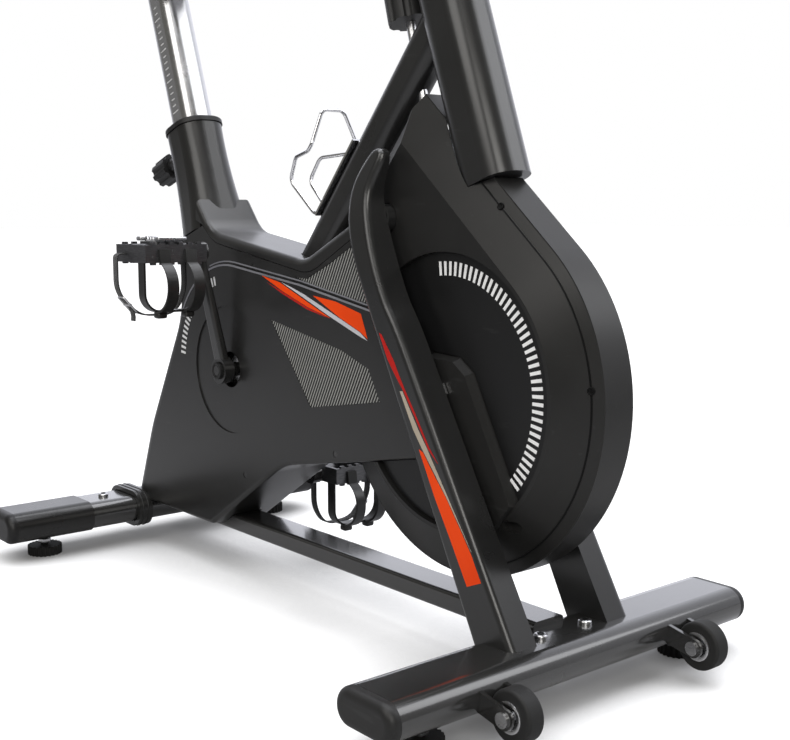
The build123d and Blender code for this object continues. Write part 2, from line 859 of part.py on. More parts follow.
with BuildPart() as side_cover_right:
    add(housing_half(0.0, cover_half, cover_rear_round))
    low_edges = edges().group_by(Axis.Y)[0].filter_by(
        lambda edge: edge.center().X > side(housing_points[5])[0] - cover_low_round
        and edge.center().Z < housing_points[7][1]
    )
    fillet(low_edges, cover_low_round)
    with BuildSketch(Plane.XZ.offset(cover_half)):
        with BuildLine():
            arc_middle = (
                crank_axis[0] + strip_radius * cos(radians(strip_turn)),
                crank_axis[1] + strip_radius * sin(radians(strip_turn)),
            )
            strip_points = [side(point) for point in strip_edge]
            strip_top = crank_height + 2 * strip_radius
            ThreePointArc(strip_points[0], arc_middle, strip_points[1])
            Polyline(
                *strip_points[1:],
                (strip_points[3][0], strip_top),
                (strip_points[0][0] - strip_radius, strip_top),
                (strip_points[0][0] - strip_radius, strip_points[0][1]),
                strip_points[0],
            )
        make_face()
    extrude(amount=-strip_depth, mode=Mode.SUBTRACT)
    extrude(
        disc(crank_axis, crank_dish_radius, Plane.XZ.offset(cover_half)),
        amount=-crank_dish_depth,
        mode=Mode.SUBTRACT,
    )
    for vent, face_y in ((strip_vent, cover_half - strip_depth), (panel_vent, cover_half)):
        extrude(
            outline([side(point) for point in vent], Plane.XZ.offset(face_y)),
            amount=-vent_depth,
            mode=Mode.SUBTRACT,
        )
    for points, face_y in (
        (panel_screws, cover_half),
        ([strip_screw], cover_half - strip_depth),
    ):
        for point in points:
            extrude(
                disc(side(point), screw_hole, Plane.XZ.offset(face_y)),
                amount=-screw_depth,
                mode=Mode.SUBTRACT,
            )
    add(
        housing_half(cover_wall, cover_half - cover_side, cover_rear_round - cover_wall),
        mode=Mode.SUBTRACT,
    )
    extrude(
        outline([side(point) for point in housing_opening]),
        amount=cover_half - cover_side,
        mode=Mode.SUBTRACT,
    )
    with BuildSketch(Plane.XZ.offset(cover_half - cover_wall)):
        with Locations((rear_x, stab_z)):
            RectangleRounded(
                stab_width + 2 * collar_ring,
                stab_height + 2 * collar_ring,
                stab_corner + collar_ring,
            )
    extrude(amount=cover_wall + collar_length)
    extrude(stab_face(rear_x, cover_gap), amount=rear_half_span, mode=Mode.SUBTRACT)
    extrude(disc(crank_axis, crank_hole_radius), amount=cover_half, mode=Mode.SUBTRACT)
    extrude(
        bar(seat_plane, shrink(post_tube, -cover_gap), post_tube_corner + cover_gap),
        amount=-seat_tube_length - cover_gap,
        mode=Mode.SUBTRACT,
    )
    with BuildSketch(Plane.YZ.offset(beam_start - cover_gap)):
        with Locations((0, beam_bottom + beam_height / 2)):
            Rectangle(beam_width + 2 * cover_gap, beam_height + 2 * cover_gap)
    extrude(amount=beam_length, mode=Mode.SUBTRACT)
    extrude(disc(wheel_axis, shroud_radius), amount=rim_half, mode=Mode.SUBTRACT)
save(side_cover_right, "side_cover_right")

with BuildPart() as side_cover_left:
    mirror(side_cover_right.part, about=Plane.XZ)
save(side_cover_left, "side_cover_left")

with BuildPart() as vent_grilles:
    for vent, face_y in ((strip_vent, cover_half - strip_depth), (panel_vent, cover_half)):
        with BuildSketch(Plane.XZ.offset(face_y - vent_depth)):
            with BuildLine():
                Polyline(*[side(point) for point in vent], close=True)
            make_face()
            offset(amount=-slide_gap, kind=Kind.INTERSECTION, mode=Mode.REPLACE)
        extrude(amount=vent_plate)
    mirror(about=Plane.XZ)
save(vent_grilles, "vent_grilles")

with BuildPart() as cover_screws:
    for points, face_y in (
        (panel_screws, cover_half),
        ([strip_screw], cover_half - strip_depth),
    ):
        for point in points:
            extrude(
                disc(side(point), screw_head, Plane.XZ.offset(face_y - screw_depth)),
                amount=screw_rise,
            )
    mirror(about=Plane.XZ)
save(cover_screws, "cover_screws")


# Flywheel shroud: the same profile turned about the wheel and run along the neck

def shroud_form(points):
    with BuildPart() as form:
        revolve(outline(points, wheel_plane), axis=wheel_line)
        extrude(outline(points, neck_plane), amount=neck_length)
    return form.part


shroud_slope = (shroud_radius - shroud_flat) / (shroud_half - rim_half)
shell_rim = shroud_radius - shroud_wall * hypot(1, shroud_slope)
shell_floor = recess_floor - shroud_wall
shell_flat = shell_rim - shroud_slope * (shell_floor - rim_half)
trim_half = 2 * block_top

with BuildPart() as shroud_trim:
    extrude(housing_face(cover_gap), amount=trim_half, both=True)
    extrude(band_face(-cover_gap), amount=trim_half, both=True)
    shoulder_x = down_tube[0] / 2 + cover_gap
    for sign in (-1, 1):
        with BuildSketch(down_plane.offset(-neck_length)):
            with BuildLine():
                Polyline(
                    (-2 * neck_length, 0),
                    (shoulder_x, 0),
                    (shoulder_x, sign * shoulder_edge),
                    (shoulder_x + shoulder_width, sign * shroud_half),
                    (shoulder_x + shoulder_width, sign * trim_half),
                    (-2 * neck_length, sign * trim_half),
                    close=True,
                )
            make_face()
        extrude(amount=3 * neck_length)
    extrude(
        bar(head_plane, shrink(post_tube, -cover_gap), post_tube_corner + cover_gap),
        amount=-head_tube_length - cover_gap,
    )
    extrude(disc(cross_point, cross_radius + cover_gap), amount=trim_half, both=True)
    add(top_run(top_tube_radius + cover_gap))

with BuildPart() as flywheel_cover_right:
    add(
        shroud_form(
            [
                (0, -rim_half),
                (shroud_radius, -rim_half),
                (shroud_flat, -shroud_half),
                (0, -shroud_half),
            ]
        )
    )
    add(
        shroud_form(
            [
                (0, 0),
                (shell_rim, 0),
                (shell_rim, -rim_half),
                (shell_flat, -shell_floor),
                (0, -shell_floor),
            ]
        ),
        mode=Mode.SUBTRACT,
    )
    extrude(
        disc(wheel_axis, recess_radius, Plane.XZ.offset(recess_floor)),
        amount=shroud_half,
        mode=Mode.SUBTRACT,
    )
    block_base = (shell_floor + recess_floor) / 2
    extrude(
        outline([side(point) for point in block_points], Plane.XZ.offset(block_base)),
        amount=block_top - block_base,
        taper=block_taper,
    )
    with BuildSketch(Plane.XZ.offset(hand_hole_floor)):
        with Locations(side(hand_hole_at)):
            SlotOverall(hand_hole[0], hand_hole[1])
    extrude(amount=shroud_half, mode=Mode.SUBTRACT)
    extrude(disc(wheel_axis, axle_radius + cover_gap), amount=trim_half, mode=Mode.SUBTRACT)
    add(shroud_trim.part, mode=Mode.SUBTRACT)
save(flywheel_cover_right, "flywheel_cover_right")

with BuildPart() as flywheel_cover_left:
    mirror(flywheel_cover_right.part, about=Plane.XZ)
save(flywheel_cover_left, "flywheel_cover_left")

with BuildPart() as rim_band:
    for radius, half, mode in (
        (shroud_radius + rim_proud, rim_half, Mode.ADD),
        (shroud_radius - shroud_wall, 2 * rim_half, Mode.SUBTRACT),
    ):
        add(
            shroud_form([(0, -half), (radius, -half), (radius, half), (0, half)]),
            mode=mode,
        )
    add(shroud_trim.part, mode=Mode.SUBTRACT)
save(rim_band, "flywheel_rim_band")

with BuildPart() as cover_discs:
    extrude(
        disc(wheel_axis, recess_radius - disc_gap, Plane.XZ.offset(recess_floor)),
        amount=disc_thickness,
    )
    with BuildSketch(Plane.XZ.offset(recess_floor)):
        with BuildLine():
            Polyline(*[side(point) for point in block_points], close=True)
        make_face()
        offset(amount=cover_gap, kind=Kind.INTERSECTION, mode=Mode.REPLACE)
    extrude(amount=disc_thickness, mode=Mode.SUBTRACT)
    add(shroud_trim.part, mode=Mode.SUBTRACT)
    mirror(about=Plane.XZ)
save(cover_discs, "cover_discs")


# Drive

def belt_run(grow):
    with BuildSketch(Plane.XZ.offset(-belt_offset)) as run:
        with Locations(crank_axis):
            Circle(drive_pitch_radius + grow)
        with Locations(wheel_axis):
            Circle(wheel_pitch_radius + grow)
        make_hull()
    return run.sketch


def pulley(axis, pitch_radius, bore):
    rim = pitch_radius - belt_thickness / 2 - belt_clear
    lip = (pulley_width - belt_width) / 2 - belt_clear
    with BuildPart() as wheel:
        middle = Plane.XZ.offset(-belt_offset)
        extrude(disc(axis, rim, middle), amount=pulley_width / 2, both=True)
        for end in (-1, 1):
            lip_plane = middle.offset(end * pulley_width / 2)
            extrude(disc(axis, rim + pulley_flange, lip_plane), amount=-end * lip)
        extrude(disc(axis, bore, middle), amount=pulley_width, both=True, mode=Mode.SUBTRACT)
    return wheel.part


def ring(axis, outer, inner, start, width):
    with BuildPart() as hoop:
        plane = Plane.XZ.offset(start)
        extrude(disc(axis, outer, plane), amount=width)
        extrude(disc(axis, inner, plane), amount=width, mode=Mode.SUBTRACT)
    return hoop.part


pulley_right = belt_offset - pulley_width / 2   # side of both pulleys nearest the mid-plane

with BuildPart() as drive_belt:
    extrude(belt_run(belt_thickness / 2), amount=belt_width / 2, both=True)
    extrude(
        belt_run(-belt_thickness / 2), amount=belt_width / 2, both=True, mode=Mode.SUBTRACT
    )
save(drive_belt, "drive_belt")

with BuildPart() as drive_pulley:
    add(pulley(crank_axis, drive_pitch_radius, spindle_radius + fit_gap))
    with BuildSketch(Plane.XZ.offset(-belt_offset)):
        with Locations(crank_axis):
            with PolarLocations(pulley_hole_ring, pulley_holes):
                Circle(pulley_hole)
    extrude(amount=pulley_width, both=True, mode=Mode.SUBTRACT)
save(drive_pulley, "drive_pulley")

with BuildPart() as flywheel_pulley:
    add(pulley(wheel_axis, wheel_pitch_radius, axle_radius + cover_gap))
save(flywheel_pulley, "flywheel_pulley")

with BuildPart() as flywheel:
    extrude(disc(wheel_axis, flywheel_radius), amount=flywheel_half, both=True)
    for sign in (-1, 1):
        extrude(
            disc(wheel_axis, flywheel_radius - flywheel_rim, Plane.XZ.offset(sign * flywheel_web)),
            amount=sign * flywheel_half,
            mode=Mode.SUBTRACT,
        )
    hub_plane = Plane.XZ.offset(wheel_hub_right)
    hub_width = wheel_hub_right + pulley_right
    extrude(disc(wheel_axis, wheel_hub_radius, hub_plane), amount=-hub_width)
    extrude(
        disc(wheel_axis, wheel_bearing_radius + running_gap, hub_plane),
        amount=-hub_width,
        mode=Mode.SUBTRACT,
    )
    with BuildSketch(Plane.XZ):
        with Locations(wheel_axis):
            with PolarLocations(flywheel_hole_ring, flywheel_holes):
                Circle(flywheel_hole)
    extrude(amount=flywheel_half, both=True, mode=Mode.SUBTRACT)
save(flywheel, "flywheel")

with BuildPart() as flywheel_bearings:
    for start in (wheel_hub_right - bearing_width, -pulley_right):
        add(
            ring(
                wheel_axis,
                wheel_bearing_radius,
                axle_radius + running_gap,
                start,
                bearing_width,
            )
        )
save(flywheel_bearings, "flywheel_bearings")

with BuildPart() as flywheel_axle:
    extrude(disc(wheel_axis, axle_radius), amount=leg_inner, both=True)
save(flywheel_axle, "flywheel_axle")

with BuildPart() as axle_nuts:
    with BuildSketch(Plane.XZ.offset(leg_inner - axle_nut_height)):
        with Locations(wheel_axis):
            RegularPolygon(axle_nut, 6)
            Circle(axle_radius + fit_gap, mode=Mode.SUBTRACT)
    extrude(amount=axle_nut_height)
    mirror(about=Plane.XZ)
save(axle_nuts, "axle_nuts")

with BuildPart() as crank_bearings:
    for start in (shell_right - bearing_width, -shell_left):
        add(
            ring(
                crank_axis, bearing_radius, spindle_radius + running_gap, start, bearing_width
            )
        )
save(crank_bearings, "crank_bearings")


# Cranks and pedals, right with sign 1 and left with sign -1

def crank_turn(sign):
    return radians(crank_angle if sign > 0 else crank_angle + 180)


def pedal_axis(sign):
    return (
        crank_axis[0] + crank_length * cos(crank_turn(sign)),
        crank_axis[1] + crank_length * sin(crank_turn(sign)),
    )


with BuildPart() as crank_spindle:
    extrude(disc(crank_axis, spindle_radius), amount=crank_hub_out, both=True)
    extrude(disc(crank_axis, crank_bolt), amount=crank_hub_out + crank_bolt_head, both=True)
save(crank_spindle, "crank_spindle")

with BuildPart() as pedal_spindles:
    for sign in (1, -1):
        extrude(
            disc(pedal_axis(sign), pedal_spindle_radius, Plane.XZ.offset(sign * crank_eye_in)),
            amount=sign * (pedal_out - 2 * pedal_plate - crank_eye_in),
        )
        extrude(
            disc(pedal_axis(sign), pedal_flange, Plane.XZ.offset(sign * crank_eye_out)),
            amount=sign * (pedal_in - crank_eye_out - 2 * slide_gap),
        )
save(pedal_spindles, "pedal_spindles")

for hand, sign in (("right", 1), ("left", -1)):
    pedal_x, pedal_z = pedal_axis(sign)
    with BuildPart() as crank:
        for axis, radius, inner, outer in (
            (crank_axis, crank_hub_radius, crank_hub_in, crank_hub_out),
            (pedal_axis(sign), crank_eye_radius, crank_eye_in, crank_eye_out),
        ):
            extrude(
                disc(axis, radius, Plane.XZ.offset(sign * inner)), amount=sign * (outer - inner)
            )
        along = Vector(cos(crank_turn(sign)), 0, sin(crank_turn(sign)))
        for distance, middle, size in (
            (crank_hub_radius / 2, (crank_hub_in + crank_hub_out) / 2, crank_root),
            (crank_length - crank_eye_radius / 2, (crank_eye_in + crank_eye_out) / 2, crank_end),
        ):
            start = Vector(crank_axis[0], -sign * middle, crank_axis[1]) + along * distance
            with BuildSketch(Plane(origin=start, x_dir=(0, 1, 0), z_dir=along)):
                RectangleRounded(size[0], size[1], crank_corner)
        loft()
        for axis, bore in (
            (crank_axis, spindle_radius),
            (pedal_axis(sign), pedal_spindle_radius),
        ):
            extrude(
                disc(axis, bore + fit_gap), amount=sign * pedal_in, mode=Mode.SUBTRACT
            )
    save(crank, f"crank_{hand}")

    inner_plane = Plane.XZ.offset(sign * pedal_in)
    pedal_width = sign * (pedal_out - pedal_in)
    pedal_y = -sign * (pedal_in + pedal_out) / 2
    plate_x = (pedal_length - pedal_plate) / 2
    with BuildPart() as pedal:
        with BuildSketch(inner_plane):
            with Locations((pedal_x, pedal_z)):
                Circle(pedal_barrel)
                Rectangle(pedal_length, pedal_web)
                with Locations((-plate_x, 0), (plate_x, 0)):
                    Rectangle(pedal_plate, pedal_height)
        extrude(amount=pedal_width)
        for start in (pedal_in, pedal_out - pedal_plate):
            with BuildSketch(Plane.XZ.offset(sign * start)):
                with Locations((pedal_x, pedal_z)):
                    RectangleRounded(pedal_length, pedal_height, pedal_corner)
            extrude(amount=sign * pedal_plate)
        with BuildSketch(Plane.XY.offset(pedal_z)):
            with Locations((pedal_x, pedal_y)):
                RectangleRounded(clip_size[0], clip_size[1], pedal_corner)
        extrude(amount=clip_height)
        with BuildSketch(Plane.XY.offset(pedal_z)):
            with Locations((pedal_x, pedal_y)):
                with GridLocations(window_pitch[0], window_pitch[1], 2, 2):
                    RectangleRounded(window_size[0], window_size[1], pedal_web / 2)
        extrude(amount=pedal_web, both=True, mode=Mode.SUBTRACT)
        for up in (1, -1):
            with BuildSketch(Plane.XY.offset(pedal_z + up * pedal_height / 2)):
                with Locations((pedal_x, pedal_y)):
                    with GridLocations(2 * plate_x, tooth_pitch, 2, pedal_teeth):
                        Rectangle(pedal_plate, tooth_width)
            extrude(amount=up * tooth_height)
        extrude(
            disc((pedal_x, pedal_z), pedal_spindle_radius + running_gap, inner_plane),
            amount=pedal_width - sign * pedal_plate,
            mode=Mode.SUBTRACT,
        )
    save(pedal, f"pedal_body_{hand}")

    under = pedal_z - pedal_height / 2
    with BuildPart() as toe_cage:
        near = -sign * (pedal_in + cage_inset)
        far = -sign * (pedal_out - cage_inset)
        low = pedal_z - cage_drop
        wall = -sign * cage_strip
        with BuildSketch(Plane.YZ.offset(pedal_x + cage_start)):
            with BuildLine():
                FilletPolyline(
                    (near, under), (near, low), (far, low), (far, under),
                    radius=[0, cage_bend, cage_bend, 0], close=True,
                )
            make_face()
            with BuildLine():
                FilletPolyline(
                    (near + wall, under), (near + wall, low + cage_strip),
                    (far - wall, low + cage_strip), (far - wall, under),
                    radius=[0, cage_bend - cage_strip, cage_bend - cage_strip, 0], close=True,
                )
            make_face(mode=Mode.SUBTRACT)
        extrude(amount=cage_width)
        front = pedal_x + pedal_length / 2
        tip_x = pedal_x + cage_start + cage_width / 2
        bulge_z = pedal_z - cage_drop / 2
        for offset_y in (-arm_pitch / 2, arm_pitch / 2):
            with BuildSketch(Plane.XZ.offset(-pedal_y + offset_y)):
                with BuildLine():
                    Polyline(
                        (front + cage_strip, under),
                        (front, under + cage_strip),
                        (front, pedal_z + pedal_web),
                        (front + cage_strip, pedal_z + pedal_web),
                        (front + 2 * cage_strip, under),
                    )
                    ThreePointArc(
                        (front + 2 * cage_strip, under),
                        (front + arm_bulge, bulge_z),
                        (tip_x, low),
                    )
                    Line((tip_x, low), (tip_x, low + cage_strip))
                    ThreePointArc(
                        (tip_x, low + cage_strip),
                        (front + arm_bulge - cage_strip, bulge_z),
                        (front + cage_strip, under),
                    )
                make_face()
            extrude(amount=arm_width / 2, both=True)
    save(toe_cage, f"toe_cage_{hand}")

    with BuildPart() as toe_strap:
        near = -sign * (pedal_in + cage_inset)
        far = -sign * (pedal_out + strap_bulge)
        touch = -sign * pedal_out
        low = pedal_z - strap_drop
        wall = -sign * strap_thickness
        bend = strap_bend - strap_thickness
        with BuildSketch(Plane.YZ.offset(pedal_x - strap_back)):
            with BuildLine():
                FilletPolyline(
                    (near, under), (near, low), (far, low), (far, pedal_z),
                    (touch, pedal_z), (touch, pedal_z - strap_thickness),
                    (far - wall, pedal_z - strap_thickness), (far - wall, low + strap_thickness),
                    (near + wall, low + strap_thickness), (near + wall, under),
                    radius=[0, strap_bend, strap_bend, strap_fold, 0, 0,
                            strap_fold - strap_thickness, bend, bend, 0],
                    close=True,
                )
            make_face()
        extrude(amount=strap_width)
    save(toe_strap, f"toe_strap_{hand}")


# Brake, along a line from the wheel axis up through the down tube

def fluted(plane, radius):
    with BuildSketch(plane) as face:
        Circle(radius)
        with PolarLocations(radius + flute_radius / 2, flutes):
            Circle(flute_radius, mode=Mode.SUBTRACT)
    return face.sketch


shoe_low = flywheel_radius + shoe_gap
rod_start = shoe_low + shoe_height - brake_rod_bite

with BuildPart() as brake_rod:
    with BuildSketch(brake_plane.offset(rod_start)):
        Circle(brake_rod_radius)
    extrude(amount=knob_start + knob_bore - rod_start)
save(brake_rod, "brake_rod")

with BuildPart() as brake_shoe:
    with BuildSketch(brake_plane.offset(flywheel_radius)):
        Rectangle(shoe_length, 2 * flywheel_half)
    extrude(amount=shoe_gap + shoe_height)
    extrude(disc(wheel_axis, shoe_low), amount=2 * flywheel_half, both=True, mode=Mode.SUBTRACT)
    with BuildSketch(brake_plane.offset(rod_start - slide_gap)):
        Circle(brake_rod_radius + running_gap)
    extrude(amount=shoe_height, mode=Mode.SUBTRACT)
save(brake_shoe, "brake_shoe")

with BuildPart() as resistance_knob:
    extrude(fluted(brake_plane.offset(knob_start), knob_radius), amount=knob_height)
    fillet(faces().sort_by(Axis(brake_plane.origin, brake_plane.z_dir))[-1].edges(), knob_round)
    with BuildSketch(brake_plane.offset(knob_start)):
        Circle(brake_rod_radius + running_gap)
    extrude(amount=knob_bore + slide_gap, mode=Mode.SUBTRACT)
save(resistance_knob, "resistance_knob")


# Saddle and its post

def pull_pin(plane):
    tip = post[0] / 2 - pin_bite
    knob_from = post_tube[0] / 2 - tube_wall + pin_barrel_reach + 2 * cover_gap
    with BuildPart() as pin:
        with BuildSketch(plane.offset(tip)):
            Circle(pin_radius)
        extrude(amount=knob_from - tip)
        extrude(fluted(plane.offset(knob_from), pin_knob_radius), amount=pin_knob_length)
        fillet(faces().sort_by(Axis(plane.origin, plane.z_dir))[-1].edges(), knob_round)
    return pin.part


def post_slot(plane, middle):
    with BuildSketch(plane) as slot:
        with Locations((0, middle)):
            SlotOverall(post_drop + post_lift + slot_width + 2 * cover_gap, slot_width, rotation=90)
    return slot.sketch


saddle_x = crank_x + saddle_centre
rail_z = seat_top[1] + seat_post_top * cos(radians(seat_lean))
rail_top = rail_z + rail_height
carriage_inner = rail_width / 2 + slide_gap
carriage_half = carriage_inner + carriage_wall
carriage_top = rail_top + slide_gap + carriage_wall
clamp_top = carriage_top + stem_height + clamp_height
saddle_knob_axis = (saddle_x, rail_z + rail_height / 2)

with BuildPart() as seat_post:
    post_foot = seat_plane.offset(-seat_post_low)
    post_run = seat_post_low + seat_post_top + rail_height
    extrude(bar(post_foot, post, post_corner), amount=post_run)
    extrude(
        bar(post_foot, shrink(post, post_wall), post_corner - post_wall),
        amount=post_run,
        mode=Mode.SUBTRACT,
    )
    split(bisect_by=Plane.XY.offset(rail_z), keep=Keep.BOTTOM)
    extrude(post_slot(pin_plane, (post_lift - post_drop) / 2), amount=post[0], mode=Mode.SUBTRACT)
    with BuildSketch(Plane.XY.offset(rail_z)):
        with Locations(side((rail_centre, 0))):
            RectangleRounded(rail_length, rail_width, rail_corner)
    extrude(amount=rail_height)
save(seat_post, "seat_post")

with BuildPart() as seat_pin:
    add(pull_pin(pin_plane))
save(seat_pin, "seat_pin")

with BuildPart() as saddle_carriage:
    with BuildSketch(Plane.YZ.offset(saddle_x - carriage_length / 2)):
        with BuildLine():
            Polyline(
                (-carriage_half, rail_z),
                (-carriage_half, carriage_top),
                (carriage_half, carriage_top),
                (carriage_half, rail_z),
                (carriage_inner, rail_z),
                (carriage_inner, rail_top + slide_gap),
                (-carriage_inner, rail_top + slide_gap),
                (-carriage_inner, rail_z),
                close=True,
            )
        make_face()
    extrude(amount=carriage_length)
    with BuildSketch(Plane.XY.offset(carriage_top)):
        with Locations((saddle_x, 0)):
            Circle(saddle_stem / 2)
    extrude(amount=stem_height)
    with BuildSketch(Plane.XY.offset(clamp_top - clamp_height)):
        with Locations((saddle_x, 0)):
            RectangleRounded(clamp_size[0], clamp_size[1], rail_corner)
    extrude(amount=clamp_height)
    with BuildSketch(Plane.YZ.offset(saddle_x)):
        with Locations((-rod_pitch / 2, clamp_top), (rod_pitch / 2, clamp_top)):
            Circle(rod_radius)
    extrude(amount=rod_length / 2, both=True)
    extrude(
        disc(saddle_knob_axis, saddle_stud + running_gap),
        amount=carriage_half,
        mode=Mode.SUBTRACT,
    )
save(saddle_carriage, "saddle_carriage")

with BuildPart() as saddle_knob:
    extrude(
        disc(saddle_knob_axis, saddle_stud, Plane.XZ.offset(carriage_inner)),
        amount=carriage_wall + saddle_knob_gap,
    )
    knob_plane = Plane(
        origin=(saddle_knob_axis[0], -carriage_half - saddle_knob_gap, saddle_knob_axis[1]),
        x_dir=(1, 0, 0),
        z_dir=(0, -1, 0),
    )
    extrude(fluted(knob_plane, saddle_knob_radius), amount=saddle_knob_length)
    fillet(faces().sort_by(Axis.Y)[0].edges(), knob_round)
save(saddle_knob, "saddle_knob")

with BuildPart() as saddle:
    saddle_low = clamp_top + rod_radius + slide_gap
    for distance, width, height in saddle_sections:
        with BuildSketch(Plane.YZ.offset(saddle_x - saddle_length / 2 + distance)):
            with BuildLine():
                half = width / 2
                low, high = saddle_low, saddle_low + height
                shoulder = saddle_low + saddle_shoulder * height
                Line((-saddle_tuck * half, low), (saddle_tuck * half, low))
                for hand in (1, -1):
                    edge = (hand * saddle_tuck * half, shoulder)
                    ThreePointArc(
                        (hand * saddle_tuck * half, low),
                        (hand * half, (low + shoulder) / 2),
                        edge,
                    )
                    ThreePointArc(
                        edge, (hand * saddle_crest * half, high), (0, high - saddle_groove)
                    )
            make_face()
    loft()
save(saddle, "saddle")


# Handlebar and its post

bar_top = head_plane.from_local_coords((0, 0, bar_post_top))

with BuildPart() as handlebar:
    post_foot = head_plane.offset(-bar_post_low)
    post_run = bar_post_low + bar_post_top + bar_radius
    extrude(bar(post_foot, post, post_corner), amount=post_run)
    extrude(
        bar(post_foot, shrink(post, post_wall), post_corner - post_wall),
        amount=post_run - bar_radius * 2 - post_wall,
        mode=Mode.SUBTRACT,
    )
    extrude(
        post_slot(head_pin_plane, (post_drop - post_lift) / 2), amount=post[0], mode=Mode.SUBTRACT
    )
    grip_run = [(horn_reach, horn_rise), (bar_reach, 0.0), (0.0, 0.0)]
    loop_run = [(0.0, 0.0), (loop_reach, loop_rise)]
    right_run = [(ahead, -bar_half, rise) for ahead, rise in grip_run]
    left_run = [(ahead, bar_half, rise) for ahead, rise in reversed(grip_run)]
    loop_right = [(ahead, -loop_half, rise) for ahead, rise in loop_run]
    loop_left = [(ahead, loop_half, rise) for ahead, rise in reversed(loop_run)]
    for run, bend, radius in (
        (right_run + left_run, bar_bend, bar_radius),
        (loop_right + loop_left, loop_bend, loop_radius),
    ):
        with BuildLine() as route:
            FilletPolyline(*[bar_top + Vector(*point) for point in run], radius=bend)
        with BuildSketch(Plane(origin=route.line @ 0, z_dir=route.line % 0)):
            Circle(radius)
            Circle(radius - bar_wall, mode=Mode.SUBTRACT)
        sweep(path=route.line)
        for end, inward in ((0, bar_wall), (1, -bar_wall)):
            with BuildSketch(Plane(origin=route.line @ end, z_dir=route.line % end)):
                Circle(radius)
            extrude(amount=inward)
save(handlebar, "handlebar")

with BuildPart() as handlebar_grips:
    grip_length = grip_span[1] - grip_span[0]
    pad_length = pad_span[1] - pad_span[0]
    for radius, mode in ((grip_radius, Mode.ADD), (bar_radius + fit_gap, Mode.SUBTRACT)):
        with BuildSketch(Plane.YZ.offset(bar_top.X + grip_span[0])):
            with Locations((-bar_half, bar_top.Z), (bar_half, bar_top.Z)):
                Circle(radius)
        extrude(amount=grip_length, mode=mode)
        for start in (pad_span[0], -pad_span[1]):
            extrude(
                disc((bar_top.X, bar_top.Z), radius, Plane.XZ.offset(start)),
                amount=pad_length,
                mode=mode,
            )
save(handlebar_grips, "handlebar_grips")

with BuildPart() as handlebar_pin:
    add(pull_pin(head_pin_plane))
save(handlebar_pin, "handlebar_pin")

with BuildPart() as bottle_cage:
    tube_face = down_tube[0] / 2
    with BuildSketch(down_plane.offset(cage_foot)):
        with Locations((-tube_face - strip_thickness / 2, 0)):
            Rectangle(strip_thickness, strip_width)
    extrude(amount=cage_height)
    wire_right = [(-tube_face - out, -wide, cage_foot + up) for up, out, wide in cage_wire]
    wire_left = [(x, -y, z) for x, y, z in reversed(wire_right)]
    with BuildLine() as wire:
        FilletPolyline(
            *[down_plane.from_local_coords(point) for point in wire_right + wire_left],
            radius=wire_bend,
        )
    with BuildSketch(Plane(origin=wire.line @ 0, z_dir=wire.line % 0)):
        Circle(wire_radius)
    sweep(path=wire.line)
save(bottle_cage, "bottle_cage")

with BuildPart() as base_bolts:
    with BuildSketch(Plane.XY.offset(foot_height + stab_height)):
        with Locations(
            (rear_x, -rear_bolt),
            (rear_x, rear_bolt),
            (front_x, -front_bolt),
            (front_x, front_bolt),
        ):
            Circle(bolt_head)
    extrude(amount=bolt_rise)
    fillet(edges().group_by(Axis.Z)[-1], bolt_rise / 2)
    pin_half = roller_width / 2 + roller_gap + ear_thickness
    for sign in (1, -1):
        roller_plane = Plane.XZ.offset(sign * roller_offset)
        extrude(
            disc((roller_x, roller_height), roller_pin, roller_plane), amount=pin_half, both=True
        )
        for end in (1, -1):
            extrude(
                disc((roller_x, roller_height), bolt_head, roller_plane.offset(end * pin_half)),
                amount=end * bolt_rise / 2,
            )
save(base_bolts, "base_bolts")
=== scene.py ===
import bpy
import json
from math import cos, hypot, pi, radians, sin
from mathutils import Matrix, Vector


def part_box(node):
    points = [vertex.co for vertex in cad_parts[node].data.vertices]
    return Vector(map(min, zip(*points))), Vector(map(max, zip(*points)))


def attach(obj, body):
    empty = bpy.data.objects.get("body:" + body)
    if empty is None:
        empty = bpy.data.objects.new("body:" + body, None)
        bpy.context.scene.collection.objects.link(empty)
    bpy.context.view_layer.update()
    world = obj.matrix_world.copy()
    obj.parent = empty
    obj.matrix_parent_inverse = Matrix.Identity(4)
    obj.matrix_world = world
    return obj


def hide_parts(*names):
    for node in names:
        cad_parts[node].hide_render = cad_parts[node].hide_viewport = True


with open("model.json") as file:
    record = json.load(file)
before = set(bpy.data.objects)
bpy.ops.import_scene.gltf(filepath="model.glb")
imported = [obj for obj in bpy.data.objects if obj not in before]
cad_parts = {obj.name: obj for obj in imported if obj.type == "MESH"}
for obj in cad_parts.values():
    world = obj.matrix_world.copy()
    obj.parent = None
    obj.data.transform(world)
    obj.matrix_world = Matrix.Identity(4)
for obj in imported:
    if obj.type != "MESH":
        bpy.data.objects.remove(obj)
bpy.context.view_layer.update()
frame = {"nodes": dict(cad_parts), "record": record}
nodes = frame["nodes"]
scene = bpy.context.scene
scene.view_settings.view_transform = "Standard"


def centreOf(node):
    low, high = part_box(node)
    return (low + high) / 2


crankCentre = centreOf("crank_spindle")
wheelCentre = centreOf("flywheel_axle")


def sidePoint(point):  # side view: ahead of the crank axis, height above the floor
    return (crankCentre.x + point[0], point[1])


def aroundAxis(centre, radius, degrees):
    turn = radians(degrees)
    return (centre.x + radius * cos(turn), centre.z + radius * sin(turn))


def setInputs(node, values):  # fixed values of named sockets
    for name, value in values.items():
        node.inputs[name].default_value = value


# camera, lamps and floor

photoView = {
    "azimuth": 50.34, "elevation": 7.62, "lens": 54.62,
    "ahead": 1.468, "aside": -0.957, "height": 0.536,
}


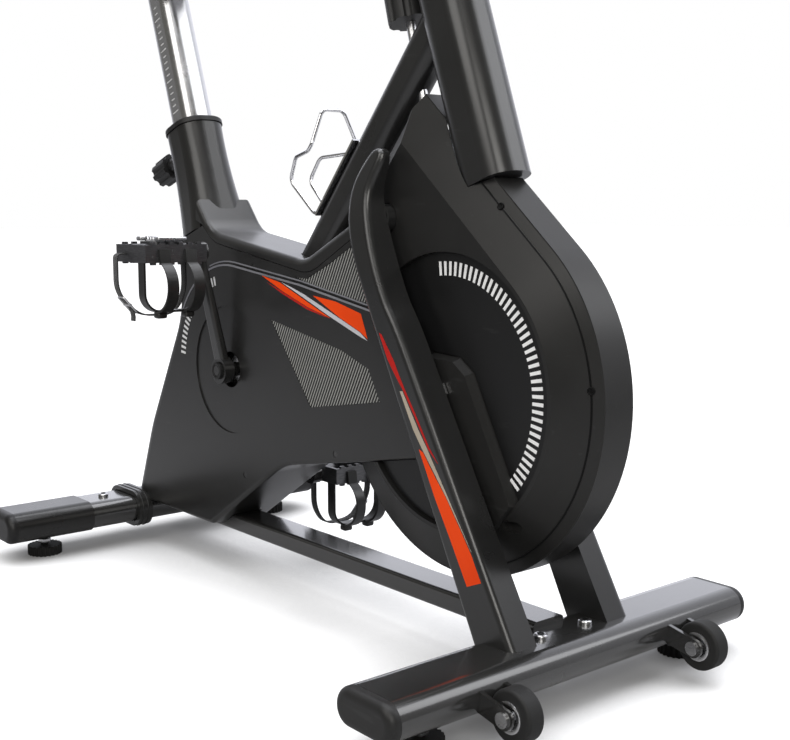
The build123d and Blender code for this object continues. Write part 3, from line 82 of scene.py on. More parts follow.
def placeCamera(view):
    bpy.ops.object.camera_add(
        location=(crankCentre.x + view["ahead"], view["aside"], view["height"]),
        rotation=(radians(90 - view["elevation"]), 0, radians(view["azimuth"])),
    )
    camera = bpy.context.object
    camera.data.lens = view["lens"]
    camera.data.sensor_width = 36
    scene.camera = camera


lamps = {
    "overhead": {
        "at": (0.0, 0.1, 2.9), "aim": (0, 0, 0.3), "size": 2.8, "watts": 88, "tint": (0.95, 0.96, 1.0),
    },
    "rightFront": {
        "at": (2.6, -1.6, 1.7), "aim": (0.1, 0, 0.5), "size": 1.4, "watts": 36, "tint": (1.0, 0.98, 0.94),
    },
    "leftFront": {
        "at": (1.9, 1.9, 2.3), "aim": (0.2, 0, 0.4), "size": 1.5, "watts": 22, "tint": (0.97, 0.98, 1.0),
    },
    "rightHigh": {
        "at": (0.5, -2.2, 2.2), "aim": (0.1, 0, 0.4), "size": 1.6, "watts": 28, "tint": (1.0, 0.98, 0.95),
    },
}


def hangLamps():
    for name, lamp in lamps.items():
        aim = Vector(lamp["aim"]) - Vector(lamp["at"])
        bpy.ops.object.light_add(type="AREA", location=lamp["at"])
        light = bpy.context.object
        light.name = name
        light.rotation_euler = aim.to_track_quat("-Z", "Y").to_euler()
        light.data.size = lamp["size"]
        light.data.energy = lamp["watts"]
        light.data.color = lamp["tint"]


studio = {
    "floorSize": 60.0, "floorColour": (0.42, 0.42, 0.425, 1), "floorRough": 0.9, "floorShine": 0.1,
    # occlusion range, glow range and reach of the painted contact shadow that the floor's glow draws under the
    # bike
    "open": (0.35, 0.85), "glow": (0.06, 0.80), "reach": 0.24, "near": 0.9, "far": 2.4,
    "roomTint": (0.17, 0.165, 0.15, 1), "backdropTint": (1.25, 1.27, 1.38, 1),
    "backdropTurn": 30, "backdropEdge": 0.8,
}


def buildStudio():
    bpy.ops.object.select_all(action="DESELECT")
    bpy.ops.mesh.primitive_plane_add(size=studio["floorSize"], location=(0, 0, 0))
    floor = bpy.context.object
    floor.name = "studioFloor"
    paint = bpy.data.materials.new("palePaper")
    paint.use_nodes = True
    tree = paint.node_tree
    shader = tree.nodes["Principled BSDF"]
    setInputs(shader, {
        "Base Color": studio["floorColour"], "Roughness": studio["floorRough"],
        "Specular IOR Level": studio["floorShine"],
    })
    path = tree.nodes.new("ShaderNodeLightPath")
    coord = tree.nodes.new("ShaderNodeTexCoord")
    away = tree.nodes.new("ShaderNodeVectorMath")  # paper goes to plain white away from the bike
    away.operation = "LENGTH"
    tree.links.new(coord.outputs["Object"], away.inputs[0])
    paintedContactShadow = tree.nodes.new("ShaderNodeAmbientOcclusion")  # and its glow fades with ambient occlusion close under it: a painted contact shadow
    setInputs(paintedContactShadow, {"Distance": studio["reach"]})
    glow = tree.nodes.new("ShaderNodeMapRange")
    for socket, value in zip(glow.inputs[1:5], (*studio["open"], *studio["glow"])):
        socket.default_value = value
    tree.links.new(paintedContactShadow.outputs["AO"], glow.inputs["Value"])
    white = tree.nodes.new("ShaderNodeMapRange")
    for socket, value in zip(white.inputs[1:3], (studio["near"], studio["far"])):
        socket.default_value = value
    tree.links.new(away.outputs["Value"], white.inputs["Value"])
    tree.links.new(glow.outputs[0], white.inputs["To Min"])
    lift = tree.nodes.new("ShaderNodeMath")
    lift.operation = "MULTIPLY"
    tree.links.new(path.outputs["Is Camera Ray"], lift.inputs[0])
    tree.links.new(white.outputs[0], lift.inputs[1])
    setInputs(shader, {"Emission Color": (1, 1, 1, 1)})
    tree.links.new(lift.outputs[0], shader.inputs["Emission Strength"])
    floor.data.materials.append(paint)

    world = bpy.data.worlds.new("studioWorld")
    scene.world = world
    world.use_nodes = True
    tree = world.node_tree
    back = tree.nodes["Background"]
    path = tree.nodes.new("ShaderNodeLightPath")
    seen = tree.nodes.new("ShaderNodeMath")
    seen.operation = "MAXIMUM"
    tree.links.new(path.outputs["Is Camera Ray"], seen.inputs[0])
    tree.links.new(path.outputs["Is Transmission Ray"], seen.inputs[1])
    coord = tree.nodes.new("ShaderNodeTexCoord")
    facing = tree.nodes.new("ShaderNodeVectorMath")  # bright backdrop behind, dim room in front
    facing.operation = "DOT_PRODUCT"
    turn = radians(studio["backdropTurn"])
    facing.inputs[1].default_value = (-sin(turn), cos(turn), 0)
    tree.links.new(coord.outputs["Generated"], facing.inputs[0])
    behind = tree.nodes.new("ShaderNodeMapRange")
    setInputs(behind, {"From Max": studio["backdropEdge"]})
    tree.links.new(facing.outputs["Value"], behind.inputs["Value"])
    room = tree.nodes.new("ShaderNodeMix")
    shown = tree.nodes.new("ShaderNodeMix")
    for mix, factor in ((room, behind.outputs[0]), (shown, seen.outputs[0])):
        mix.data_type = "RGBA"
        tree.links.new(factor, mix.inputs[0])
    room.inputs[6].default_value = studio["roomTint"]
    room.inputs[7].default_value = studio["backdropTint"]
    tree.links.new(room.outputs[2], shown.inputs[6])
    shown.inputs[7].default_value = (1, 1, 1, 1)
    tree.links.new(shown.outputs[2], back.inputs["Color"])


placeCamera(photoView)
hangLamps()
buildStudio()
print("stage: camera, lamps and floor")


# finishes

scratches = {
    "fineDetail": 3, "broadDetail": 4, "broadRough": 0.55, "turn": (0.3, 0.5, 0.9), "stretch": (6, 90, 40),
    "scale": 3, "detail": 6, "from": 0.66, "to": 0.74,
}


def buildGrain(scratches):  # shared grain: fine tooth, broad cloudiness, thin scuffs
    group = bpy.data.node_groups.new("finishGrain", "ShaderNodeTree")
    face = group.interface
    face.new_socket("Vector", in_out="INPUT", socket_type="NodeSocketVector")
    for name in ("Fine Scale", "Broad Scale"):
        face.new_socket(name, in_out="INPUT", socket_type="NodeSocketFloat")
    for name in ("Fine", "Broad", "Scuff"):
        face.new_socket(name, in_out="OUTPUT", socket_type="NodeSocketFloat")
    start = group.nodes.new("NodeGroupInput")
    end = group.nodes.new("NodeGroupOutput")
    fine = group.nodes.new("ShaderNodeTexNoise")
    setInputs(fine, {"Detail": scratches["fineDetail"]})
    broad = group.nodes.new("ShaderNodeTexNoise")
    setInputs(broad, {"Detail": scratches["broadDetail"], "Roughness": scratches["broadRough"]})
    stretch = group.nodes.new("ShaderNodeMapping")
    setInputs(stretch, {"Rotation": scratches["turn"], "Scale": scratches["stretch"]})
    scratch = group.nodes.new("ShaderNodeTexNoise")
    setInputs(scratch, {"Scale": scratches["scale"], "Detail": scratches["detail"]})
    scuff = group.nodes.new("ShaderNodeMapRange")
    setInputs(scuff, {"From Min": scratches["from"], "From Max": scratches["to"]})
    for texture in (fine, broad):
        group.links.new(start.outputs["Vector"], texture.inputs["Vector"])
    group.links.new(start.outputs["Fine Scale"], fine.inputs["Scale"])
    group.links.new(start.outputs["Broad Scale"], broad.inputs["Scale"])
    group.links.new(start.outputs["Vector"], stretch.inputs["Vector"])
    group.links.new(stretch.outputs[0], scratch.inputs["Vector"])
    group.links.new(scratch.outputs[0], scuff.inputs["Value"])
    group.links.new(fine.outputs[0], end.inputs["Fine"])
    group.links.new(broad.outputs[0], end.inputs["Broad"])
    group.links.new(scuff.outputs[0], end.inputs["Scuff"])
    return group


grain = buildGrain(scratches)


def startMaterial(name):
    material = bpy.data.materials.new(name)
    material.use_nodes = True
    tree = material.node_tree
    return material, tree, tree.nodes["Principled BSDF"], tree.nodes.new("ShaderNodeTexCoord")


def mixColour(tree, factor, first, second):
    mix = tree.nodes.new("ShaderNodeMix")
    mix.data_type = "RGBA"
    tree.links.new(factor, mix.inputs[0])
    for socket, colour in ((mix.inputs[6], first), (mix.inputs[7], second)):
        if isinstance(colour, tuple):
            socket.default_value = (*colour, 1)
        else:
            tree.links.new(colour, socket)
    return mix.outputs[2]


def spread(tree, value, low, high, start=0.3, end=0.7):
    node = tree.nodes.new("ShaderNodeMapRange")
    setInputs(node, {"From Min": start, "From Max": end, "To Min": low, "To Max": high})
    tree.links.new(value, node.inputs["Value"])
    return node.outputs[0]


def bumpFrom(tree, shader, height, strength, distance):
    bump = tree.nodes.new("ShaderNodeBump")
    setInputs(bump, {"Strength": strength, "Distance": distance})
    tree.links.new(height, bump.inputs["Height"])
    tree.links.new(bump.outputs[0], shader.inputs["Normal"])


def grainNode(tree, coord, look):
    node = tree.nodes.new("ShaderNodeGroup")
    node.node_tree = grain
    setInputs(node, {"Fine Scale": look["fine"], "Broad Scale": look["broad"]})
    tree.links.new(coord.outputs["Object"], node.inputs["Vector"])
    return node


def makeFinish(name, look):  # paint, moulded plastic and rubber
    material, tree, shader, coord = startMaterial(name)
    detail = grainNode(tree, coord, look)
    cloud = spread(tree, detail.outputs["Broad"], 0, 1)
    colour = mixColour(tree, cloud, look["colour"], look["worn"])
    scuffed = spread(tree, detail.outputs["Scuff"], 0, look["scuffs"], 0, 1)
    colour = mixColour(tree, scuffed, colour, look["scuffColour"])
    tree.links.new(colour, shader.inputs["Base Color"])
    tree.links.new(spread(tree, detail.outputs["Broad"], *look["rough"]), shader.inputs["Roughness"])
    setInputs(shader, {
        "Metallic": look.get("metal", 0), "Specular IOR Level": look.get("shine", 0.5),
        "Coat Weight": look.get("coat", 0), "Coat Roughness": look.get("coatRough", 0.2),
    })
    bumpFrom(tree, shader, detail.outputs["Fine"], look["bump"], look["depth"])
    return material


def makeBrushed(name, look):  # drawn, turned or plated metal
    material, tree, shader, coord = startMaterial(name)
    stretch = tree.nodes.new("ShaderNodeMapping")
    setInputs(stretch, {"Scale": look["stretch"]})
    tree.links.new(coord.outputs["Object"], stretch.inputs["Vector"])
    lines = tree.nodes.new("ShaderNodeTexNoise")
    setInputs(lines, {"Scale": look["scale"], "Detail": look["lineDetail"]})
    tree.links.new(stretch.outputs[0], lines.inputs["Vector"])
    detail = grainNode(tree, coord, look)
    colour = mixColour(tree, spread(tree, lines.outputs[0], 0, 1), look["colour"], look["worn"])
    scuffed = spread(tree, detail.outputs["Scuff"], 0, look["scuffs"], 0, 1)
    colour = mixColour(tree, scuffed, colour, look["scuffColour"])
    tree.links.new(colour, shader.inputs["Base Color"])
    tree.links.new(spread(tree, detail.outputs["Broad"], *look["rough"]), shader.inputs["Roughness"])
    setInputs(shader, {"Metallic": 1.0})
    bumpFrom(tree, shader, lines.outputs[0], look["bump"], look["depth"])
    return material


def makeHatch(name, look):  # slanting bright threads over a dark grille
    material, tree, shader, coord = startMaterial(name)
    split = tree.nodes.new("ShaderNodeSeparateXYZ")
    tree.links.new(coord.outputs["Object"], split.inputs[0])
    turn = radians(look["slant"])
    across = []
    for axis, share in (("X", sin(turn)), ("Z", -cos(turn))):
        part = tree.nodes.new("ShaderNodeMath")
        part.operation = "MULTIPLY"
        part.inputs[1].default_value = share / look["pitch"]
        tree.links.new(split.outputs[axis], part.inputs[0])
        across.append(part.outputs[0])
    total = tree.nodes.new("ShaderNodeMath")
    tree.links.new(across[0], total.inputs[0])
    tree.links.new(across[1], total.inputs[1])
    wave = tree.nodes.new("ShaderNodeMath")
    wave.operation = "PINGPONG"
    wave.inputs[1].default_value = 0.5
    tree.links.new(total.outputs[0], wave.inputs[0])
    thread = spread(tree, wave.outputs[0], 0, 1, look["edge"], look["edge"] + look["soft"])
    detail = grainNode(tree, coord, look)
    bright = mixColour(tree, detail.outputs["Fine"], look["thread"], look["threadWorn"])
    tree.links.new(mixColour(tree, thread, look["gap"], bright), shader.inputs["Base Color"])
    tree.links.new(spread(tree, thread, *look["rough"], 0, 1), shader.inputs["Roughness"])
    bumpFrom(tree, shader, thread, look["bump"], look["depth"])
    return material


def makeWeave(name, look):  # strap webbing: ribs across, threads along
    material, tree, shader, coord = startMaterial(name)
    ribs = tree.nodes.new("ShaderNodeTexWave")
    ribs.bands_direction = "DIAGONAL"
    setInputs(ribs, {"Scale": look["ribs"], "Distortion": look["waver"]})
    threads = tree.nodes.new("ShaderNodeTexWave")
    threads.bands_direction = "X"
    setInputs(threads, {"Scale": look["threads"]})
    for wave in (ribs, threads):
        tree.links.new(coord.outputs["Object"], wave.inputs["Vector"])
    cross = tree.nodes.new("ShaderNodeMath")
    cross.operation = "MULTIPLY"
    tree.links.new(ribs.outputs[1], cross.inputs[0])
    tree.links.new(threads.outputs[1], cross.inputs[1])
    detail = grainNode(tree, coord, look)
    colour = mixColour(tree, cross.outputs[0], look["colour"], look["worn"])
    fuzzed = spread(tree, detail.outputs["Scuff"], 0, look["scuffs"], 0, 1)
    tree.links.new(mixColour(tree, fuzzed, colour, look["fuzz"]), shader.inputs["Base Color"])
    tree.links.new(spread(tree, detail.outputs["Broad"], *look["rough"]), shader.inputs["Roughness"])
    setInputs(shader, {"Sheen Weight": look["sheen"]})
    bumpFrom(tree, shader, cross.outputs[0], look["bump"], look["depth"])
    return material


def makeHide(name, look):  # coated saddle cover with a pebbled grain
    material, tree, shader, coord = startMaterial(name)
    pebble = tree.nodes.new("ShaderNodeTexVoronoi")
    setInputs(pebble, {"Scale": look["pebble"], "Randomness": look["uneven"]})
    tree.links.new(coord.outputs["Object"], pebble.inputs["Vector"])
    detail = grainNode(tree, coord, look)
    cloud = spread(tree, detail.outputs["Broad"], 0, 1)
    tree.links.new(mixColour(tree, cloud, look["colour"], look["worn"]), shader.inputs["Base Color"])
    tree.links.new(spread(tree, detail.outputs["Broad"], *look["rough"]), shader.inputs["Roughness"])
    height = tree.nodes.new("ShaderNodeMath")
    tree.links.new(pebble.outputs["Distance"], height.inputs[0])
    tree.links.new(detail.outputs["Fine"], height.inputs[1])
    bumpFrom(tree, shader, height.outputs[0], look["bump"], look["depth"])
    return material


charcoal = {
    "colour": (0.0105, 0.0103, 0.0100), "worn": (0.016, 0.0157, 0.0152), "scuffColour": (0.05, 0.05, 0.05),
    "shine": 0.34, "scuffs": 0.2, "fine": 900, "broad": 7, "rough": (0.28, 0.36), "bump": 0.12, "depth": 0.0004,
}
looks = {
    "frame_paint": {**charcoal, "colour": (0.012, 0.012, 0.012), "worn": (0.017, 0.017, 0.017),
                    "rough": (0.26, 0.34), "fine": 520, "bump": 0.08, "coat": 0.45, "coatRough": 0.22},
    "sleeve_paint": {**charcoal, "rough": (0.26, 0.36), "fine": 600, "bump": 0.08,
                     "coat": 0.3, "coatRough": 0.22},
    "beam_paint": {**charcoal, "colour": (0.015, 0.0148, 0.0144), "worn": (0.021, 0.0208, 0.0203),
                   "rough": (0.2, 0.28), "fine": 480, "bump": 0.05, "shine": 0.5,
                   "coat": 1.0, "coatRough": 0.12},
    "cover_plastic": {**charcoal, "coat": 0.35, "coatRough": 0.2},
    "shroud_plastic": {**charcoal, "rough": (0.3, 0.38)},
    "rim_plastic": {**charcoal, "colour": (0.013, 0.0128, 0.0122), "worn": (0.019, 0.0187, 0.018),
                    "rough": (0.34, 0.44)},
    "disc_plastic": {**charcoal, "colour": (0.005, 0.005, 0.0052), "worn": (0.0075, 0.0075, 0.0078),
                     "rough": (0.3, 0.4), "bump": 0.05, "fine": 300},
    "black_plastic": {**charcoal, "colour": (0.009, 0.009, 0.0092), "rough": (0.38, 0.5)},
    "knob_plastic": {**charcoal, "colour": (0.008, 0.008, 0.0083), "rough": (0.35, 0.48), "fine": 1400},
    "foot_rubber": {**charcoal, "rough": (0.65, 0.85), "scuffs": 0.5, "bump": 0.4},
    "wheel_rubber": {**charcoal, "colour": (0.012, 0.012, 0.012), "rough": (0.6, 0.8),
                     "scuffs": 0.5, "bump": 0.4},
    "grip_rubber": {**charcoal, "rough": (0.6, 0.78), "fine": 1600, "bump": 0.5},
    "belt_rubber": {**charcoal, "colour": (0.008, 0.008, 0.008), "rough": (0.7, 0.85)},
    "black_steel": {**charcoal, "rough": (0.22, 0.32), "coat": 0.4, "fine": 300, "bump": 0.05, "shine": 0.5},
    "bar_paint": {**charcoal, "rough": (0.26, 0.36), "coat": 0.4, "fine": 500, "bump": 0.08},
    "toe_plastic": {**charcoal, "rough": (0.3, 0.42), "fine": 1200, "shine": 0.5},
    "shoe_felt": {**charcoal, "colour": (0.22, 0.2, 0.17), "worn": (0.3, 0.28, 0.24), "rough": (0.85, 0.95),
                  "fine": 2500, "bump": 0.8},
}
metal = {
    "colour": (0.55, 0.55, 0.56), "worn": (0.68, 0.68, 0.69), "scuffColour": (0.35, 0.35, 0.35),
    "stretch": (1, 1, 12), "scale": 90, "lineDetail": 5, "fine": 600, "broad": 14, "rough": (0.22, 0.36),
    "scuffs": 0.5, "bump": 0.15, "depth": 0.0003,
}
metals = {
    "bright_steel": metal,
    "cage_chrome": {**metal, "colour": (0.75, 0.75, 0.77), "worn": (0.85, 0.85, 0.86),
                    "rough": (0.06, 0.14), "bump": 0.04},
    "post_chrome": {**metal, "colour": (0.5, 0.5, 0.51), "worn": (0.6, 0.6, 0.61),
                    "stretch": (40, 40, 2), "rough": (0.2, 0.3)},
    "carriage_metal": {**metal, "colour": (0.36, 0.36, 0.37), "worn": (0.46, 0.46, 0.47),
                       "rough": (0.35, 0.5)},
    "pedal_metal": {**metal, "colour": (0.1, 0.1, 0.105), "worn": (0.17, 0.17, 0.175), "rough": (0.35, 0.5),
                    "scuffColour": (0.5, 0.5, 0.5)},
    "wheel_iron": {**metal, "colour": (0.25, 0.25, 0.255), "worn": (0.33, 0.33, 0.335), "rough": (0.35, 0.5)},
}
grille = {
    "slant": 62, "pitch": 0.0047, "edge": 0.24, "soft": 0.1, "gap": (0.008, 0.008, 0.0085),
    "thread": (0.27, 0.27, 0.255), "threadWorn": (0.36, 0.36, 0.34), "fine": 700, "broad": 20,
    "rough": (0.75, 0.42), "bump": 0.7, "depth": 0.0008,
}
webbing = {
    "colour": (0.007, 0.007, 0.007), "worn": (0.022, 0.022, 0.022), "fuzz": (0.05, 0.05, 0.05),
    "ribs": 160, "threads": 420, "waver": 0.6, "fine": 900, "broad": 25,
    "scuffs": 0.3, "rough": (0.7, 0.9), "sheen": 0.25, "bump": 0.6, "depth": 0.0005,
}
hide = {
    "colour": (0.009, 0.009, 0.0095), "worn": (0.014, 0.014, 0.0145), "pebble": 420, "uneven": 0.9,
    "fine": 800, "broad": 18, "rough": (0.42, 0.6), "bump": 0.35, "depth": 0.0006,
}

finishes = {name: makeFinish(name, look) for name, look in looks.items()}
finishes.update({name: makeBrushed(name, look) for name, look in metals.items()})
finishes["grille_plastic"] = makeHatch("grille_plastic", grille)
finishes["strap_fabric"] = makeWeave("strap_fabric", webbing)
finishes["saddle_skin"] = makeHide("saddle_skin", hide)

ink = {
    "fine": 900, "broad": 9, "rough": (0.34, 0.44), "bump": 0.05, "depth": 0.0003, "scuffs": 0.2, "shine": 0.12,
}
inks = {  # colour, worn, scuffed, metal
    "orangeInk": ((0.84, 0.058, 0.003), (0.92, 0.078, 0.006), (0.7, 0.045, 0.004), 0),
    "redInk": ((0.42, 0.012, 0.01), (0.52, 0.02, 0.014), (0.3, 0.01, 0.01), 0),
    "silverInk": ((0.50, 0.50, 0.53), (0.62, 0.62, 0.65), (0.35, 0.35, 0.37), 0),
    "beigeInk": ((0.42, 0.36, 0.28), (0.5, 0.44, 0.36), (0.3, 0.26, 0.2), 0),
    "whiteInk": ((0.80, 0.80, 0.80), (0.88, 0.88, 0.88), (0.6, 0.6, 0.6), 0),
    # silver of the saddle stitches, and of the painted highlight strips on the raised panel edge
    "silverThreadAndEdgeHighlight": ((0.30, 0.30, 0.33), (0.40, 0.40, 0.43), (0.2, 0.2, 0.2), 0.6),
    "seamBlack": ((0.004, 0.004, 0.004), (0.006, 0.006, 0.006), (0.02, 0.02, 0.02), 0),
}
for name, values in inks.items():
    look = dict(zip(("colour", "worn", "scuffColour", "metal"), values))
    finishes[name] = makeFinish(name, {**ink, **look})

ownFinish = {  # pieces that are glossier or darker than the rest of their slot
    "crank_spindle": "black_steel", "front_stabiliser": "beam_paint", "rear_stabiliser": "beam_paint",
}
for entry in frame["record"]["subparts"]:
    node = nodes[entry["node"]]
    finish = ownFinish.get(entry["node"], entry["material_slot"])
    node.data.materials.clear()
    node.data.materials.append(finishes[finish])
print("stage: finishes on", len(nodes), "frame pieces")


# small modelling steps shared by the pieces below

softEdge = radians(35)  # edges flatter than this are shaded smooth
discShape = {"upright": 0.9, "inset": 0.3, "sink": 0.3}


def clearSelection():
    bpy.ops.object.select_all(action="DESELECT")


def pick(*pieces):  # select these alone, the first one active
    clearSelection()
    for piece in pieces:
        piece.select_set(True)
    bpy.context.view_layer.objects.active = pieces[0]


def editMode(mode="EDIT"):
    bpy.ops.object.mode_set(mode=mode)


def applyModifier(piece, kind, **values):
    bpy.context.view_layer.objects.active = piece
    modifier = piece.modifiers.new(kind.title(), kind)
    for key, value in values.items():
        setattr(modifier, key, value)
    bpy.ops.object.modifier_apply(modifier=modifier.name)


def settle(piece, name, body, finish):  # place into the mesh, then ride
    pick(piece)
    bpy.ops.object.transform_apply(location=True, rotation=True, scale=True)
    piece.name = name
    piece.data.materials.clear()
    piece.data.materials.append(finishes[finish])
    bpy.ops.object.shade_smooth_by_angle(angle=softEdge)
    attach(piece, body)
    return piece


def joinPieces(pieces):
    pick(*pieces)
    if len(pieces) > 1:
        bpy.ops.object.join()
    return pieces[0]


def facesOut():
    editMode()
    bpy.ops.mesh.select_all(action="SELECT")
    bpy.ops.mesh.normals_make_consistent(inside=False)
    editMode("OBJECT")


def plate(points, y, thick):  # flat shape in the side view, raised outward from y
    clearSelection()
    bpy.ops.mesh.primitive_circle_add(vertices=len(points), fill_type="NGON")
    piece = bpy.context.object
    for vertex, point in zip(piece.data.vertices, points):
        vertex.co = (point[0], y, point[1])
    editMode()
    bpy.ops.mesh.select_all(action="SELECT")
    rise = (0, thick if y > 0 else -thick, 0)
    bpy.ops.mesh.extrude_region_move(TRANSFORM_OT_translate={"value": rise})
    editMode("OBJECT")
    facesOut()
    return piece


def stroke(points, width):  # outline of an even line through side-view points
    left, right = [], []
    for index, point in enumerate(points):
        before = points[max(index - 1, 0)]
        after = points[min(index + 1, len(points) - 1)]
        run = hypot(after[0] - before[0], after[1] - before[1])
        across = ((before[1] - after[1]) / run * width / 2, (after[0] - before[0]) / run * width / 2)
        left.append((point[0] + across[0], point[1] + across[1]))
        right.append((point[0] - across[0], point[1] - across[1]))
    return left + right[::-1]


def bothSides(piece):
    bpy.ops.object.transform_apply(location=True, rotation=True, scale=True)
    applyModifier(piece, "MIRROR", use_axis=(False, True, False))
    facesOut()
    return piece


def tube(points, radius, closed=False, sides=4):  # round bar along points in space
    curve = bpy.data.curves.new("tube", "CURVE")
    curve.dimensions = "3D"
    curve.bevel_depth = radius
    curve.bevel_resolution = sides
    curve.use_fill_caps = not closed
    line = curve.splines.new("POLY")
    line.points.add(len(points) - 1)
    for spot, point in zip(line.points, points):
        spot.co = (*point, 1)
    line.use_cyclic_u = closed
    piece = bpy.data.objects.new("tube", curve)
    scene.collection.objects.link(piece)
    pick(piece)
    bpy.ops.object.convert(target="MESH")
    return bpy.context.object


def roundBlock(size, at, edge, segments=3):  # box with softened edges
    clearSelection()
    bpy.ops.mesh.primitive_cube_add(size=1, location=at, scale=size)
    piece = bpy.context.object
    bpy.ops.object.transform_apply(location=False, rotation=False, scale=True)
    applyModifier(piece, "BEVEL", width=edge, segments=segments, limit_method="NONE")
    return piece


def turnedDisc(disc, at, facing):  # short cylinder, inset on its outer face
    clearSelection()
    turn = Vector(facing).to_track_quat("Z", "Y").to_euler()
    bpy.ops.mesh.primitive_cylinder_add(
        vertices=disc["sides"], radius=disc["radius"], depth=disc["depth"], location=at, rotation=turn
    )
    piece = bpy.context.object
    editMode()
    bpy.ops.mesh.select_all(action="DESELECT")
    editMode("OBJECT")
    for face in piece.data.polygons:
        face.select = face.normal.z > discShape["upright"]
    editMode()
    bpy.ops.mesh.inset(thickness=disc["radius"] * discShape["inset"])
    sink = -Vector(facing).normalized() * disc["depth"] * discShape["sink"]
    bpy.ops.mesh.extrude_region_move(TRANSFORM_OT_translate={"value": sink})
    editMode("OBJECT")
    applyModifier(piece, "BEVEL", width=disc["edge"], segments=2, limit_method="ANGLE")
    return piece


# stripes, ticks and a painted edge highlight on the covers

# silver strips on the flat side face along the raised panel edge: a painted highlight where that edge catches
# the light
paintedEdgeHighlight = {
    "radius": 0.150, "from": 154, "to": 84, "step": 5, "straight": [(0.179, 0.438), (0.392, 0.403)],
    "face": 0.0500, "width": 0.0026, "rise": 0.0006,
    "second": 0.0052, "secondFace": 0.0480, "secondWidth": 0.0018, "secondFrom": 109,
}


def buildPaintedEdgeHighlight(edgeHighlight):
    lines = []
    for lift, face, width, first in (
        (0, edgeHighlight["face"], edgeHighlight["width"], edgeHighlight["from"]),
        (edgeHighlight["second"], edgeHighlight["secondFace"], edgeHighlight["secondWidth"], edgeHighlight["secondFrom"]),
    ):
        turns = range(first, edgeHighlight["to"] - 1, -edgeHighlight["step"])
        path = [aroundAxis(crankCentre, edgeHighlight["radius"] + lift, turn) for turn in turns]
        path += [(sidePoint(point)[0], point[1] + lift) for point in edgeHighlight["straight"]]
        lines.append(plate(stroke(path, width), -face, edgeHighlight["rise"]))
    settle(bothSides(joinPieces(lines)), "paintedEdgeHighlight", "frame", "silverThreadAndEdgeHighlight")


panelDecals = {
    "face": 0.0500, "rise": 0.0003,
    "orangeInk": [
        [
            (0.0885, 0.4470), (0.1320, 0.4395), (0.1765, 0.4235), (0.2455, 0.3989), (0.1949, 0.4105),
            (0.1381, 0.4281),
        ],
        [
            (0.2080, 0.4257), (0.2560, 0.4210), (0.3080, 0.4090), (0.3215, 0.3785), (0.3063, 0.3865),
            (0.2650, 0.4010),
        ],
    ],
    "silverInk": [[
        (0.1365, 0.4396), (0.1576, 0.4346), (0.1878, 0.4263), (0.2650, 0.4000), (0.3063, 0.3856),
        (0.3210, 0.3765), (0.3063, 0.3805), (0.2419, 0.4018), (0.1840, 0.4229),
    ]],
    "redInk": [[
        (0.1025, 0.4380), (0.1380, 0.4272), (0.1949, 0.4096), (0.2420, 0.3988), (0.1949, 0.4070),
        (0.1380, 0.4246),
    ]],
}
legDecals = {
    "face": 0.0950, "rise": 0.0003,
    "orangeInk": [[
        (0.4703, 0.2701), (0.4770, 0.2677), (0.4965, 0.2444), (0.5152, 0.2237), (0.5370, 0.1946),
        (0.5565, 0.1679), (0.5724, 0.1400), (0.5505, 0.1308), (0.5248, 0.1751), (0.4972, 0.2201),
    ]],
    "beigeInk": [[
        (0.4369, 0.3319), (0.4413, 0.3324), (0.4687, 0.2925), (0.4843, 0.2723), (0.5569, 0.1707),
        (0.5163, 0.2237), (0.4759, 0.2710), (0.4602, 0.2913),
    ]],
    "redInk": [[
        (0.3995, 0.3954), (0.4042, 0.3938), (0.4255, 0.3664), (0.4340, 0.3524), (0.4457, 0.3348),
        (0.4644, 0.3088), (0.4871, 0.2755), (0.5024, 0.2584), (0.4857, 0.2727), (0.4620, 0.3070),
        (0.4425, 0.3335), (0.4281, 0.3499), (0.4145, 0.3668),
    ]],
}


def buildDecals(title, decals):
    for finish in ("orangeInk", "silverInk", "beigeInk", "redInk"):
        if finish in decals:
            shapes = [
                plate([sidePoint(point) for point in shape], -decals["face"], decals["rise"])
                for shape in decals[finish]
            ]
            name = title + finish[0].upper() + finish[1:]
            settle(bothSides(joinPieces(shapes)), name, "frame", finish)


wheelTicks = {
    "inner": 0.1330, "outer": 0.1490, "from": 96.0, "step": 3.4, "count": 41, "share": 0.46,
    "face": 0.0396, "rise": 0.0004,
}
crankTicks = {
    "inner": 0.1235, "outer": 0.1365, "from": 174.0, "step": 3.5, "count": 13, "share": 0.45,
    "face": 0.0500, "rise": 0.0004,
}
crankTicksShort = {**crankTicks, "from": 112.5, "count": 3}


def buildTicks(name, groups):
    made = []
    for centre, ticks in groups:
        half = ticks["step"] * ticks["share"] / 2
        for index in range(ticks["count"]):
            turn = ticks["from"] - index * ticks["step"]
            corners = [
                aroundAxis(centre, radius, turn + side)
                for radius, side in (
                    (ticks["inner"], -half), (ticks["outer"], -half),
                    (ticks["outer"], half), (ticks["inner"], half),
                )
            ]
            made.append(plate(corners, -ticks["face"], ticks["rise"]))
    settle(bothSides(joinPieces(made)), name, "frame", "whiteInk")


buildPaintedEdgeHighlight(paintedEdgeHighlight)
buildDecals("panel", panelDecals)
buildDecals("leg", legDecals)
buildTicks("wheelTicks", [(wheelCentre, wheelTicks)])
buildTicks("crankTicks", [(crankCentre, crankTicks), (crankCentre, crankTicksShort)])
print("stage: stripes and ticks")


# shroud bead, collar ribs, plugs and screws

shroudBead = {
    "radius": 0.205, "y": 0.0277, "thick": 0.0011, "from": -75, "neckLean": 49.4, "neckRun": 0.17, "step": 3,
}


